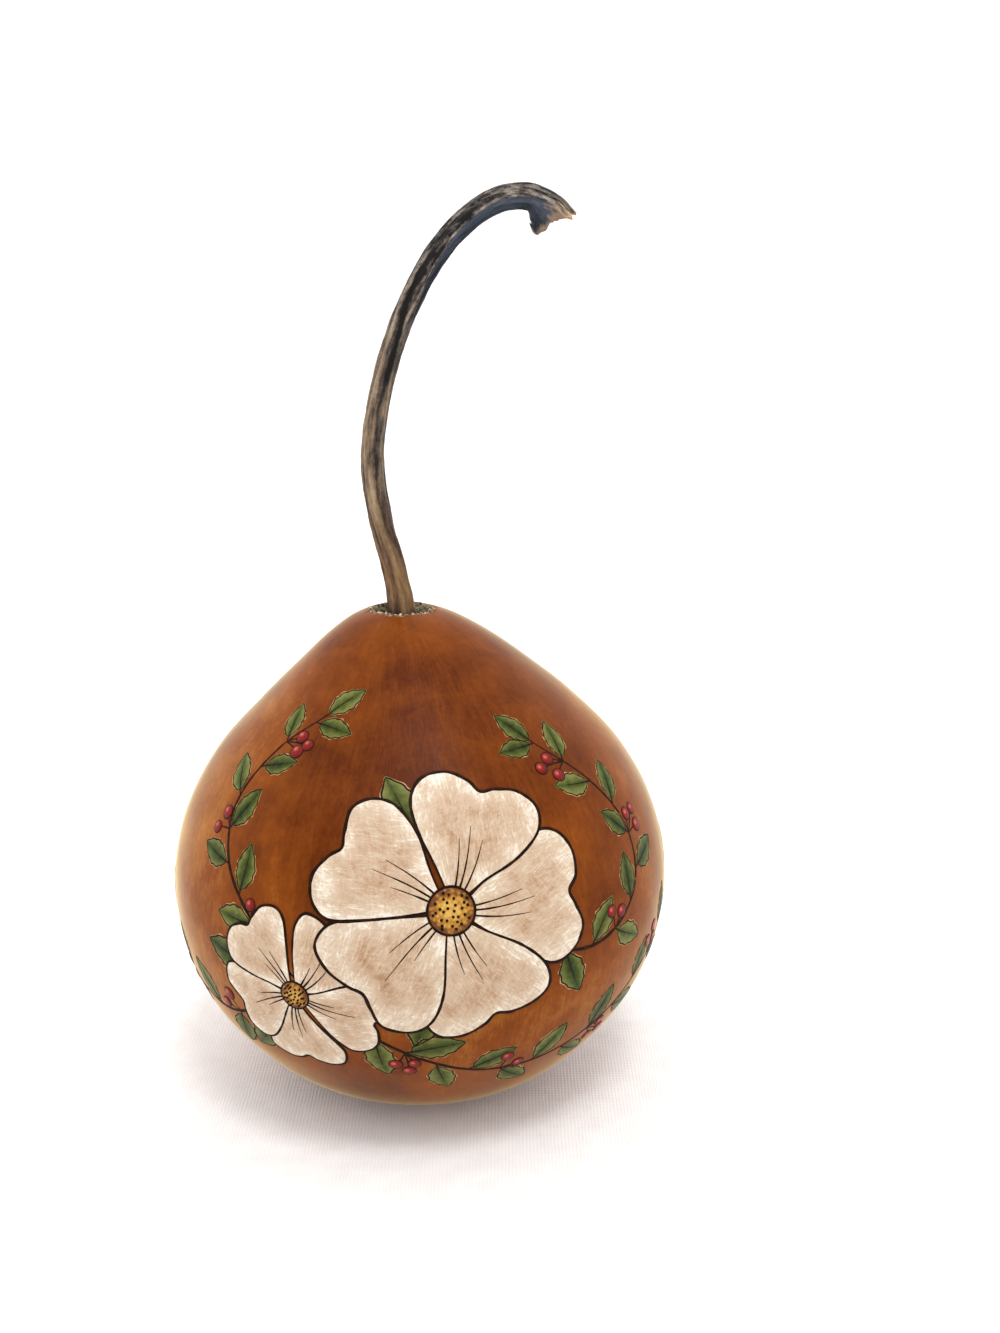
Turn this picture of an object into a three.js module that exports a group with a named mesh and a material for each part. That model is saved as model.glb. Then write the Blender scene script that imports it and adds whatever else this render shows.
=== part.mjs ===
// A dried hard-shelled gourd that stands on its blossom end, with its long curved stem.
// Millimetres, +Z up, the front faces -Y, and the origin is the middle of the resting spot.
import * as THREE from "three";

// Driving dimensions of the shell
const BODY_RADIUS = 82.5; // half of the widest girth
const BODY_HEIGHT = 162.5; // resting spot to the rim round the stem
const REST_RADIUS = 22; // flat spot that the gourd stands on
const BLOSSOM_RADIUS = 5; // dimple that the flower left under the gourd
const BLOSSOM_DEPTH = 1.4;
const TOP_LEAN = -5.4; // how far the shrunken top sits to one side
const LEAN_START = 0.74; // share of the height where that lean begins
const GIRTH_LOBES = 0.006; // departure of the girth from a circle, as a share of the radius

// Driving dimensions of the scar where the shell shrank away from the stem
const SCAR_RADIUS = 9.6;
const SCAR_DEPTH = 1.9;
const SCAR_LIP = 1.3; // width of the rounded rim outside the scar
const SOCKET_RADIUS = 5.7; // hole in which the foot of the stem stands
const SOCKET_DEPTH = 7.5;
const FOOT_GAP = 0.35; // clear space between the foot and its socket

// The flank from the resting spot to the rim, as [share of the radius, share of the height]
const FLANK = [
  [REST_RADIUS / BODY_RADIUS, 0],
  [0.46, 0.024],
  [0.606, 0.062],
  [0.747, 0.128],
  [0.891, 0.227],
  [0.978, 0.342],
  [1, 0.468],
  [0.942, 0.594],
  [0.817, 0.71],
  [0.637, 0.808],
  [0.47, 0.885],
  [0.333, 0.943],
  [0.222, 0.981],
  [(SCAR_RADIUS + SCAR_LIP) / BODY_RADIUS, 1],
];
const FLANK_ROWS = 38;
const BODY_SIDES = 64;

// The stem's centreline above the shell, as [x, y, z]
const STEM_ROUTE = [
  [-6, 0, 168],
  [-8.3, -0.6, 179],
  [-11.7, -1, 192.5],
  [-13.8, -1, 210],
  [-12.4, -0.6, 226],
  [-8.6, 0, 241.5],
  [-3.3, 0.6, 257],
  [4.2, 1, 271],
  [14.2, 1.2, 283.4],
  [26, 1, 291.2],
  [35.6, 0.4, 292.3],
  [43, 0, 289.6],
  [46.4, 0, 286.6],
];
// Half thickness of the stem over its ridges, as [share of the length, radius]
const STEM_RADII = [
  [0, SOCKET_RADIUS - FOOT_GAP],
  [0.03, SOCKET_RADIUS - FOOT_GAP],
  [0.055, 4.55],
  [0.1, 4.05],
  [0.18, 3.9],
  [0.32, 3.6],
  [0.55, 3.7],
  [0.75, 3.9],
  [0.9, 4.15],
  [1, 4.3],
];
const STEM_RIDGES = 5;
const RIDGE_DEPTH = 0.17; // how far the faces between the ridges sink, as a share of the radius
const RIDGE_START = 0.08; // share of the length below which the foot is round
const RIDGE_PHASE = THREE.MathUtils.degToRad(-100); // one ridge runs up the front
const RIDGE_TWIST = THREE.MathUtils.degToRad(24); // turn of the ridges from foot to tip
const STEM_ROWS = 58;
const STEM_SIDES = 30;

// The torn tip: a lip flares under the crook and a tongue runs on above it
const TEAR_START = 0.925; // share of the length where the flare begins
const LIP_FLARE = 1.5; // growth of the radius at the lip
const LIP_BACK = 4.9; // how far the lip's edge lies behind the end of the centreline
const TONGUE_REACH = 1.8; // how far the tongue runs past it
const TONGUE_TAPER = 0.42;
const TEAR_HOLLOW = 3.2; // depth of the broken pith
const TEAR_JAG = 0.8; // height of the splinters round the edge
const TEAR_RINGS = [0.78, 0.5, 0.24]; // rings of the broken face, as shares of its radius

const SHELL_COLOUR = 0x8a4a1c;
const STEM_COLOUR = 0x7d6a55;

const clamp01 = (t) => THREE.MathUtils.clamp(t, 0, 1);
const smooth = (t) => THREE.MathUtils.smoothstep(t, 0, 1);

// Moves every vertex of a geometry by a function that changes the point it is given.
function reshape(geometry, change) {
  const position = geometry.getAttribute("position");
  const point = new THREE.Vector3();
  for (let i = 0; i < position.count; i += 1) {
    point.fromBufferAttribute(position, i);
    change(point);
    position.setXYZ(i, point.x, point.y, point.z);
  }
  return geometry;
}

// Value at t of a line through [t, value] knots, eased from knot to knot.
function easedThrough(knots, t) {
  const next = knots.findIndex(([at]) => at >= t);
  if (next < 1) return knots[next < 0 ? knots.length - 1 : 0][1];
  const [from, low] = knots[next - 1];
  const [to, high] = knots[next];
  return THREE.MathUtils.lerp(low, high, smooth((t - from) / (to - from)));
}

// Half section of the shell, from the blossom dimple round the flank and down into the socket.
function bodyProfile() {
  const flank = new THREE.SplineCurve(
    FLANK.map(([r, h]) => new THREE.Vector2(r * BODY_RADIUS, h * BODY_HEIGHT)),
  );
  const inside = [
    [SCAR_RADIUS, BODY_HEIGHT - SCAR_DEPTH / 4],
    [SCAR_RADIUS - SCAR_LIP / 2, BODY_HEIGHT - SCAR_DEPTH],
    [SOCKET_RADIUS, BODY_HEIGHT - SCAR_DEPTH],
    [SOCKET_RADIUS, BODY_HEIGHT - SOCKET_DEPTH],
    [0, BODY_HEIGHT - SOCKET_DEPTH],
  ];
  const dimple = [
    [0, BLOSSOM_DEPTH],
    [BLOSSOM_RADIUS * 0.6, BLOSSOM_DEPTH * 0.8],
    [BLOSSOM_RADIUS, 0],
  ];
  const vectors = (pairs) => pairs.map(([r, z]) => new THREE.Vector2(r, z));
  return [...vectors(dimple), ...flank.getSpacedPoints(FLANK_ROWS), ...vectors(inside)];
}

// A grown shell isn't a true circle: two soft lobes swell its girth and its top leans over.
function growBody(point) {
  const inScar = Math.hypot(point.x, point.y) <= SCAR_RADIUS && point.z > BODY_HEIGHT / 2;
  const height = inScar ? 1 : clamp01(point.z / BODY_HEIGHT);
  const angle = Math.atan2(point.y, point.x);
  const swell = 1 + GIRTH_LOBES * 4 * height * (1 - height) * Math.cos(2 * angle - 1.1);
  const lean = TOP_LEAN * Math.max(0, (height - LEAN_START) / (1 - LEAN_START)) ** 2;
  point.set(point.x * swell + lean, point.y * swell, point.z);
}

function gourdBody() {
  const geometry = new THREE.LatheGeometry(bodyProfile(), BODY_SIDES).rotateX(Math.PI / 2);
  const material = new THREE.MeshStandardMaterial({
    color: SHELL_COLOUR,
    roughness: 0.42,
    metalness: 0,
  });
  const mesh = new THREE.Mesh(reshape(geometry, growBody), material);
  mesh.name = "gourd_body";
  return mesh;
}

// The centreline with its foot standing upright in the socket.
function stemCurve() {
  const floor = BODY_HEIGHT - SOCKET_DEPTH + FOOT_GAP;
  const foot = [floor, (floor + BODY_HEIGHT) / 2, BODY_HEIGHT].map((z) => [TOP_LEAN, 0, z]);
  const points = [...foot, ...STEM_ROUTE].map((p) => new THREE.Vector3(...p));
  return new THREE.CatmullRomCurve3(points, false, "centripetal");
}

// Share by which the section sinks between its ridges at one angle and place along the stem.
function ridgeSink(angle, along) {
  const turned = angle - RIDGE_PHASE - RIDGE_TWIST * along;
  const grown = smooth(clamp01((along - RIDGE_START) / RIDGE_START));
  return RIDGE_DEPTH * grown * Math.abs(Math.sin((STEM_RIDGES * turned) / 2));
}

// Carries a point of a straight unit tube, its length along Y, onto the bent and torn stem.
// Angle 0 is the inner side of the bend, which becomes the underside of the crook.
function growStem(curve) {
  return (point) => {
    const along = clamp01(point.y);
    const filled = Math.hypot(point.x, point.z);
    const angle = Math.atan2(point.x, point.z);
    const tangent = curve.getTangentAt(along);
    const side = new THREE.Vector3(0, 1, 0).addScaledVector(tangent, -tangent.y).normalize();
    const inner = new THREE.Vector3().crossVectors(side, tangent);

    const torn = clamp01((along - TEAR_START) / (1 - TEAR_START));
    const lip = Math.max(0, Math.cos(angle)) ** 2;
    const tongue = Math.max(0, -Math.cos(angle));
    const flare = 1 + LIP_FLARE * smooth(torn) * lip - TONGUE_TAPER * torn ** 2 * tongue;
    const radius = easedThrough(STEM_RADII, along) * (1 - ridgeSink(angle, along)) * flare;
    const splinters = TEAR_JAG * (Math.sin(5 * angle + 0.7) + 0.6 * Math.sin(9 * angle + 2));
    const edge = (TONGUE_REACH * tongue - LIP_BACK * lip + splinters) * torn ** 2;
    const reach = edge * filled - TEAR_HOLLOW * torn ** 2 * (1 - filled);

    point.copy(curve.getPointAt(along));
    point.addScaledVector(inner, radius * filled * Math.cos(angle));
    point.addScaledVector(side, radius * filled * Math.sin(angle));
    point.addScaledVector(tangent, reach);
  };
}

function stem() {
  const wall = Array.from({ length: STEM_ROWS + 1 }, (_, i) => [1, i / STEM_ROWS]);
  const face = TEAR_RINGS.map((share) => [share, 1]);
  const profile = [[0, 0], ...wall, ...face, [0, 1]].map((p) => new THREE.Vector2(...p));
  const geometry = new THREE.LatheGeometry(profile, STEM_SIDES);
  const material = new THREE.MeshStandardMaterial({
    color: STEM_COLOUR,
    roughness: 0.85,
    metalness: 0,
  });
  const mesh = new THREE.Mesh(reshape(geometry, growStem(stemCurve())), material);
  mesh.name = "stem";
  return mesh;
}

const gourd = new THREE.Group();
gourd.add(gourdBody(), stem());
export default gourd;
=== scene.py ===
"""Dresses a packed gourd: dyed shell, dry stem, painted flowers, leafy sprigs and berries on a pale cloth."""

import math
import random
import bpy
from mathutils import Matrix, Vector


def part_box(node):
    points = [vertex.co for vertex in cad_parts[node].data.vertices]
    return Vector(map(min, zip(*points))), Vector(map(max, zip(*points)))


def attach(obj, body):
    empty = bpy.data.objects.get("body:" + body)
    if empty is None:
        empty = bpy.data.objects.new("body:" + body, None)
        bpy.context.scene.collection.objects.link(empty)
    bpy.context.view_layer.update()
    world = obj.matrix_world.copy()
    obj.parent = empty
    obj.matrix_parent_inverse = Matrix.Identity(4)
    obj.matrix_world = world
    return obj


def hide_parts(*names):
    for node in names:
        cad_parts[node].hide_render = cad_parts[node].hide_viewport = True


bl_info = {
    "name": "Painted Gourd",
    "version": (1, 0, 0),
    "blender": (4, 5, 0),
    "location": "3D View > Sidebar > Painted Gourd",
    "description": "Builds the dyed shell, the dry stem and the painted decoration of a gourd",
    "category": "Add Mesh",
}

from functools import partial

import bpy
import numpy as np
from bpy.props import FloatProperty, FloatVectorProperty, IntProperty, PointerProperty
from mathutils import Vector, noise

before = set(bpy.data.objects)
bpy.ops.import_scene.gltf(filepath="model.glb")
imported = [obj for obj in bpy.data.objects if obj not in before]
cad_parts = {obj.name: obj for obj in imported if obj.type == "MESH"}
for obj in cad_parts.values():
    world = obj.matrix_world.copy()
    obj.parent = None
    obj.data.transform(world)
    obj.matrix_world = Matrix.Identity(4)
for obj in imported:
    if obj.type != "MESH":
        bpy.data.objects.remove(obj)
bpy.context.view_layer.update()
BODY_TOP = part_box("gourd_body")[1].z  # height of the shell

MM = 0.001
BODY = "root"
SHELL = "gourd_shell"
HEART = np.array([0, 0, 76 * MM])  # middle of the gourd, towards which paint is laid

# Half section of the shell from the blossom dimple to the scar's floor, as [radius, height] in mm
DIMPLE = [[0, 1.4], [3, 1.1], [5, 0.25], [6.5, 0], [12, 0], [19, 0]]
FLANK = [
    [22, 0.1], [29.3, 1.56], [38, 3.9], [50, 10.1], [61.6, 20.8], [73.5, 36.9], [80.7, 55.6], [82.5, 76],
    [77.7, 96.5], [67.4, 115.4], [52.6, 131.3], [38.8, 143.8], [27.5, 153.2], [18.3, 159.4], [10.9, 162.5],
]
SCAR = [[9.7, 162.1], [8.9, 160.9], [7.4, 160.1], [5.2, 159.7], [0, 159.5]]
LEAN_START = 0.74  # share of the height above which the top leans over
LOBE_PHASE = 1.1  # phase of the two lobes of the girth, in radians
# Where the scar and the painted shade deep in its pit begin and where they are full, as shares of the half
# section's length
SCAR_SPAN = (0.944, 0.961)
PIT_SHADE_SPAN = (0.958, 0.972)

# Centreline of the stem above the scar, as [x, y, z] in mm, and the heights of its upright foot
STEM_ROUTE = [
    [-6, 0, 168], [-8.3, -0.6, 179], [-11.7, -1, 192.5], [-13.8, -1, 210], [-12.4, -0.6, 226],
    [-8.6, 0, 241.5], [-3.3, 0.6, 257], [4.2, 1, 271], [14.2, 1.2, 283.4], [26, 1, 291.2],
    [35.6, 0.4, 292.3], [43, 0, 289.6], [46.4, 0, 286.6],
]
STEM_FOOT = [155.4, 159, 162.5]
# Half thickness of the stem, as [share of the length, mm]
STEM_RADII = [
    [0, 5.3], [0.03, 5.2], [0.055, 4.6], [0.1, 4.05], [0.18, 3.95],
    [0.32, 3.85], [0.55, 3.7], [0.75, 3.9], [0.9, 4.15], [1, 4.3],
]

# Flowers as [degrees round from the front, height in mm, share of the front flower's reach, seed, leafy gaps]
FLOWERS = [
    [-25, 61, 0.66, 2, (0, 2, 3)],
    [9, 90, 1, 5, (1, 3)],
    [180, 90, 0.7, 4, (0, 1, 2, 3, 4)],
]
# Sprigs from a flower outwards, as [degrees round from the front, height in mm]
SPRIGS = [
    [[-24, 66], [-36, 82], [-46, 96], [-51, 112], [-46, 128], [-33, 138]],
    [[-30, 56], [-46, 46], [-62, 47], [-77, 59], [-92, 76], [-112, 87], [-134, 86]],
    [[14, 86], [36, 72], [49, 73], [59, 85], [61, 102], [54, 118], [42, 130]],
    [[-14, 54], [2, 40], [18, 32], [36, 32], [53, 40], [69, 54], [88, 72], [110, 83], [134, 82]],
]
SPRIG_SEED = 31  # of the first sprig; each next one adds 1

# Height above the shell of each layer of the decoration
VINE_LIFT = 0.05 * MM
LEAF_LIFT = 0.07 * MM
LEAF_LINE_LIFT = 0.11 * MM
BERRY_LIFT = 0.13 * MM
PETAL_LIFT = 0.16 * MM
PETAL_STEP = 0.03 * MM
BURIED = 0.3 * MM  # how far the underside of a film lies in the shell
STALK = 1.8 * MM  # from a sprig's line to the foot of a leaf
LEAF_MARGIN = 1.16  # half width of a leaf's paint, as a share of its outline's
LEAF_WAVE = 0.07  # height of the waves of a leaf's edge, as a share of its half width
LEAF_RIB_END = 0.66  # share of the leaf's length where its middle rib stops
# Half width of a leaf's burnt outline and of its rib
LEAF_OUTLINE = 0.24 * MM
LEAF_RIB = 0.27 * MM


def linear(hex_colour):
    """Linear colour with alpha of an sRGB hex value."""
    channels = [int(hex_colour[i : i + 2], 16) / 255 for i in (0, 2, 4)]
    return [c / 12.92 if c <= 0.04045 else ((c + 0.055) / 1.055) ** 2.4 for c in channels] + [1.0]


def setting(kind, name, note, default, **more):
    """A property of a group of settings."""
    return kind(name=name, description=note, default=default, **more)


def hue(name, note, hex_colour):
    """A colour setting with its default given as an sRGB hex value."""
    more = {"size": 4, "subtype": "COLOR", "min": 0, "max": 1}
    return setting(FloatVectorProperty, name, note, linear(hex_colour), **more)


def length(name, note, millimetres):
    """A length setting with its default given in millimetres."""
    return setting(FloatProperty, name, note, millimetres * MM, unit="LENGTH")


def angle(name, note, degrees):
    """An angle setting with its default given in degrees."""
    return setting(FloatProperty, name, note, math.radians(degrees), subtype="ANGLE")


class ShellSettings(bpy.types.PropertyGroup):
    top_lean: length("Top lean", "How far the shrunken top sits to one side", -5.4)
    lobes: setting(FloatProperty, "Girth lobes", "Departure of the girth from a circle", 0.006)
    dents: length("Dents", "Height of the soft unevenness of the shell", 0.9)
    dent_size: length("Dent size", "Width of the soft unevenness", 46)
    sides: setting(IntProperty, "Sides", "Faces round the girth", 400)
    rows: setting(IntProperty, "Rows", "Faces along the half section", 230)
    dye: hue("Dye", "Main colour of the dyed shell", "86430f")
    # Dark dye is also the colour of the painted shade under the belly and on the back
    dark_dye_and_shade: hue("Dark dye", "Colour where the dye gathered", "582406")
    bare_shell: hue("Rubbed shell", "Colour where the dye was rubbed thin", "b97a36")


class StemSettings(bpy.types.PropertyGroup):
    ridges: setting(IntProperty, "Ridges", "Ridges along the stem", 5)
    ridge_depth: setting(FloatProperty, "Groove depth", "Share of the radius by which the grooves sink", 0.17)
    twist: angle("Twist", "Turn of the ridges above the middle", -50)
    rows: setting(IntProperty, "Rows", "Faces along the stem", 440)
    sides: setting(IntProperty, "Sides", "Faces round the stem", 120)
    crest: hue("Crest", "Colour of the ridges", "8f7a62")
    face: hue("Face", "Colour between the ridges and the grooves", "524841")
    shade: hue("Inner face", "Colour of the weathered inner side of the crook", "161c26")
    wood: hue("Torn wood", "Colour of the broken end", "e4c294")


class PaintSettings(bpy.types.PropertyGroup):
    flower_radius: length("Flower radius", "Reach of the front flower's petals", 41)
    petals: setting(IntProperty, "Petals", "Petals of a flower", 5)
    leaf_length: length("Leaf length", "Length of a full leaf", 16.5)
    leaf_width: length("Leaf width", "Width of a full leaf", 9)
    leaf_spacing: length("Leaf spacing", "Distance between leaves along a sprig", 11)
    berry_radius: length("Berry radius", "Radius of a painted berry", 2)
    outline: length("Outline", "Width of the burnt outline of a petal", 1.1)
    cream: hue("Cream", "Colour of the paint on the petals", "c6a88c")
    white: hue("White", "Colour of the thick paint along the petals' edges", "efe5d5")
    leaf: hue("Leaf", "Colour of the leaves", "465019")
    leaf_edge: hue("Leaf edge", "Colour of the leaves' lighter edges", "787a40")
    berry: hue("Berry", "Colour of the berries", "9c1c12")
    ochre: hue("Ochre", "Colour of the flowers' hearts", "b9802c")
    burnt: hue("Burnt line", "Colour of the burnt lines", "190b04")


class StageSettings(bpy.types.PropertyGroup):
    camera_distance: length("Camera distance", "From the camera to the point it looks at", 529.7)
    camera_height: length("Aim height", "Height of the point that the camera looks at", 142.87)
    camera_side: length("Aim side", "Sideways place of the point that the camera looks at", 26.73)
    camera_pitch: angle("Pitch", "How far the camera looks down", 15)
    lens: setting(FloatProperty, "Lens", "Focal length in millimetres", 43.2)
    front_light: setting(FloatProperty, "Front light", "Brightness of the room behind the camera", 0.27)
    window_light: setting(FloatProperty, "Window light", "Strength of the broad light high in front", 1)
    ceiling_light: setting(FloatProperty, "Ceiling light", "Strength of the small light from above", 0.92)
    cloth: hue("Cloth", "Colour of the cloth under the gourd", "f7f6f5")


# What Blender puts before a node's own name, by the kind of tree
PREFIXES = {"GEOMETRY": ("GeometryNode", "FunctionNode", "ShaderNode", "Node"), "SHADER": ("ShaderNode",)}


def spaced(name):
    """The name of a socket that was written as one word."""
    return name.replace("_", " ")


def add(tree, kind, *values, out=None, stops=None, **named):
    """Adds a node and returns its first output, or the one named out.

    Values fill the first inputs in order. A name with a capital is an input and any other a setting.
    Stops are the colours of a ramp by their places.
    """
    new = tree.nodes.new(next(p + kind for p in PREFIXES[tree.type] if hasattr(bpy.types, p + kind)))
    for name, value in named.items():
        if name[0].islower():
            setattr(new, name, value)
    shown = {socket.name: socket for socket in reversed(new.inputs) if socket.enabled}
    inputs = list(zip(new.inputs, values))
    inputs += [(shown[spaced(name)], value) for name, value in named.items() if name[0].isupper()]
    for socket, value in inputs:
        if isinstance(value, bpy.types.NodeSocket):
            tree.links.new(value, socket)
        else:
            socket.default_value = value
    if stops:
        ramp = new.color_ramp.elements
        ramp[0].position, *between, ramp[1].position = stops
        for place in between:
            ramp.new(place)
        for stop, colour in zip(ramp, stops.values()):
            stop.color = colour
    return next((s for s in new.outputs if s.enabled and out in (None, s.name)), None)


def smooth_line(knots, steps):
    """Points of a Catmull-Rom line through the knots, with a number of steps from knot to knot."""
    p = np.asarray(knots, float)
    p = np.vstack([p[:1], p, p[-1:]])
    t = np.linspace(0, 1, steps, endpoint=False)[:, None]
    runs = []
    for a, b, c, d in zip(p[:-3], p[1:-2], p[2:-1], p[3:]):
        bend = (2 * a - 5 * b + 4 * c - d) * t**2 + (3 * b - a - 3 * c + d) * t**3
        runs.append(b + 0.5 * ((c - a) * t + bend))
    return np.vstack(runs + [p[-1:]])


def eased(knots, t):
    """Value at t of a line through [t, value] knots, eased from knot to knot."""
    at, value = np.asarray(knots, float).T
    place = np.interp(t, at, np.arange(len(at)))
    low = np.minimum(place.astype(int), len(at) - 2)
    part = place - low
    return value[low] + (value[low + 1] - value[low]) * part * part * (3 - 2 * part)


def smoothstep(low, high, value):
    """0 below low, 1 above high and an eased step between them."""
    t = np.clip((value - low) / (high - low), 0, 1)
    return t * t * (3 - 2 * t)


def unit(vectors):
    """The same directions with length 1."""
    return vectors / np.linalg.norm(vectors, axis=-1, keepdims=True)


def run_along(points):
    """Distance from the first point to each point, along the line."""
    return np.concatenate([[0], np.cumsum(np.linalg.norm(np.diff(points, axis=0), axis=1))])


def shell_lean(height, top_lean):
    """Sideways shift of the shell at a height."""
    over = np.maximum(0, (height / BODY_TOP - LEAN_START) / (1 - LEAN_START))
    return top_lean * np.minimum(over, 1) ** 2


def on_shell(round_degrees, height, settings):
    """Points of the shell at angles round from the front, positive to the right, and heights."""
    flank = smooth_line(np.array(FLANK) * MM, 12)
    height = np.asarray(height)
    turn = np.radians(np.asarray(round_degrees) - 90)
    share = height / BODY_TOP
    swell = 1 + settings.lobes * 4 * share * (1 - share) * np.cos(2 * turn - LOBE_PHASE)
    radius = np.interp(height, flank[:, 1], flank[:, 0]) * swell
    x = radius * np.cos(turn) + shell_lean(height, settings.top_lean)
    return np.stack(np.broadcast_arrays(x, radius * np.sin(turn), height), -1)


def up_and_out(round_degrees, height, settings):
    """Unit vectors up the flank and out of the shell at one of its points."""
    here = on_shell(round_degrees, height, settings)
    right = unit(on_shell(round_degrees + 0.5, height, settings) - here)
    up = unit(on_shell(round_degrees, height + 0.5 * MM, settings) - here)
    return up, np.cross(right, up)


def wrap(centre, flat):
    """Carries a flat drawing, x right and y up from a centre, onto a ball round the gourd's heart."""
    out = centre - HEART
    reach = np.linalg.norm(out)
    out = out / reach
    right = unit(np.cross([0, 0, 1], out))
    up = np.cross(out, right)
    far = np.hypot(flat[..., 0], flat[..., 1])[..., None]
    along = (flat[..., :1] * right + flat[..., 1:2] * up) / np.maximum(far, 1e-9)
    return HEART + reach * (np.cos(far / reach) * out + np.sin(far / reach) * along)


def disc(rings, sides):
    """Points on rings of given radii round the middle of a flat drawing, running clockwise."""
    ring, turn = np.meshgrid(rings, np.linspace(math.tau, 0, sides, endpoint=False), indexing="ij")
    return np.stack([ring * np.cos(turn), ring * np.sin(turn), 0 * ring], -1)


def mesh_object(name, points, faces=(), edges=(), marks=None):
    """A mesh object at the origin, with its marks kept as point attributes."""
    mesh = bpy.data.meshes.new(name)
    mesh.from_pydata([tuple(p) for p in points], edges, faces)
    for mark, values in (marks or {}).items():
        values = np.asarray(values, np.float32)
        kind, key = ("FLOAT", "value") if values.ndim == 1 else ("FLOAT_VECTOR", "vector")
        mesh.attributes.new(mark, kind, "POINT").data.foreach_set(key, values.ravel())
    made = bpy.data.objects.new(name, mesh)
    bpy.context.scene.collection.objects.link(made)
    return made


def quads(index):
    """Four-sided faces between the neighbours of a grid of point numbers."""
    return np.stack([index[:-1, :-1], index[:-1, 1:], index[1:, 1:], index[1:, :-1]], -1).reshape(-1, 4)


def listed(values):
    """A grid of numbers or vectors as a plain list of them."""
    return values.reshape(-1, 3) if values.ndim == 3 else values.ravel()


def film(name, sheets):
    """Closed thin films, one for each sheet.

    A sheet is a grid of points, the lift of its top, its marks and whether it closes round.
    """
    points, faces, lifts, marks = [], [], [], {}
    for grid, lift, notes, closed in sheets:
        count = grid.shape[0] * grid.shape[1]
        index = sum(len(p) for p in points) + np.arange(count).reshape(grid.shape[:2])
        points += [listed(grid)] * 2
        lifts += [np.broadcast_to(lift, grid.shape[:2]).ravel(), np.full(count, -BURIED)]
        for mark, values in notes.items():
            marks.setdefault(mark, []).extend([listed(values)] * 2)
        if closed:
            index = np.hstack([index, index[:, :1]])
            rims = [index[0], index[-1, ::-1]]
        else:
            rims = [np.concatenate([index[0], index[1:, -1], index[-1, -2::-1], index[-2::-1, 0]])]
        top = quads(index)
        faces += [top, top[:, ::-1] + count]
        faces += [np.stack([rim[:-1], rim[:-1] + count, rim[1:] + count, rim[1:]], -1) for rim in rims]
    marks = {mark: np.concatenate(values) for mark, values in marks.items()}
    marks["lift"] = np.concatenate(lifts)
    return mesh_object(name, np.concatenate(points), np.concatenate(faces).tolist(), marks=marks)


def strokes(name, routes):
    """Lines as chains of points. A route is points, half widths, lift and whether it closes round."""
    points, edges, widths, layers = [], [], [], []
    for route, half_width, layer, closed in routes:
        start = sum(len(p) for p in points)
        count = len(route)
        points.append(route)
        widths.append(np.broadcast_to(half_width, count))
        layers.append(np.full(count, layer))
        last = count if closed else count - 1
        edges += [(start + i, start + (i + 1) % count) for i in range(last)]
    marks = {"half_width": np.concatenate(widths), "layer": np.concatenate(layers)}
    return mesh_object(name, np.concatenate(points), edges=edges, marks=marks)


def new_tree(name, **sockets):
    """A Geometry Nodes tree with named inputs; returns it, the function that adds nodes and the inputs."""
    tree = bpy.data.node_groups.new(name, "GeometryNodeTree")
    tree.interface.new_socket("Geometry", in_out="OUTPUT", socket_type="NodeSocketGeometry")
    for label, kind in {"Geometry": "Geometry", **sockets}.items():
        tree.interface.new_socket(spaced(label), in_out="INPUT", socket_type="NodeSocket" + kind)
    return tree, partial(add, tree), tree.nodes.new("NodeGroupInput").outputs


def grow(piece, tree, **inputs):
    """Runs a tree on an object, with the shell where it asks for it, and keeps the plain mesh."""
    modifier = piece.modifiers.new(tree.name, "NODES")
    modifier.node_group = tree
    given = {"Shell": bpy.data.objects[SHELL], **{spaced(name): value for name, value in inputs.items()}}
    for item in tree.interface.items_tree:
        if item.in_out == "INPUT" and item.name in given:
            modifier[item.identifier] = given[item.name]
    graph = bpy.context.evaluated_depsgraph_get()
    evaluated = piece.evaluated_get(graph)
    mesh = bpy.data.meshes.new_from_object(evaluated, preserve_all_data_layers=True, depsgraph=graph)
    piece.modifiers.remove(modifier)
    plain = piece.data
    piece.data = mesh
    bpy.data.meshes.remove(plain)
    if not mesh.polygons:
        raise RuntimeError(f"{piece.name} has no faces after {tree.name}")


def keep(piece, slot, *nodes):
    """Makes a finished piece part of the object."""
    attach(piece, BODY)
    if nodes:
        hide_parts(*nodes)


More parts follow.
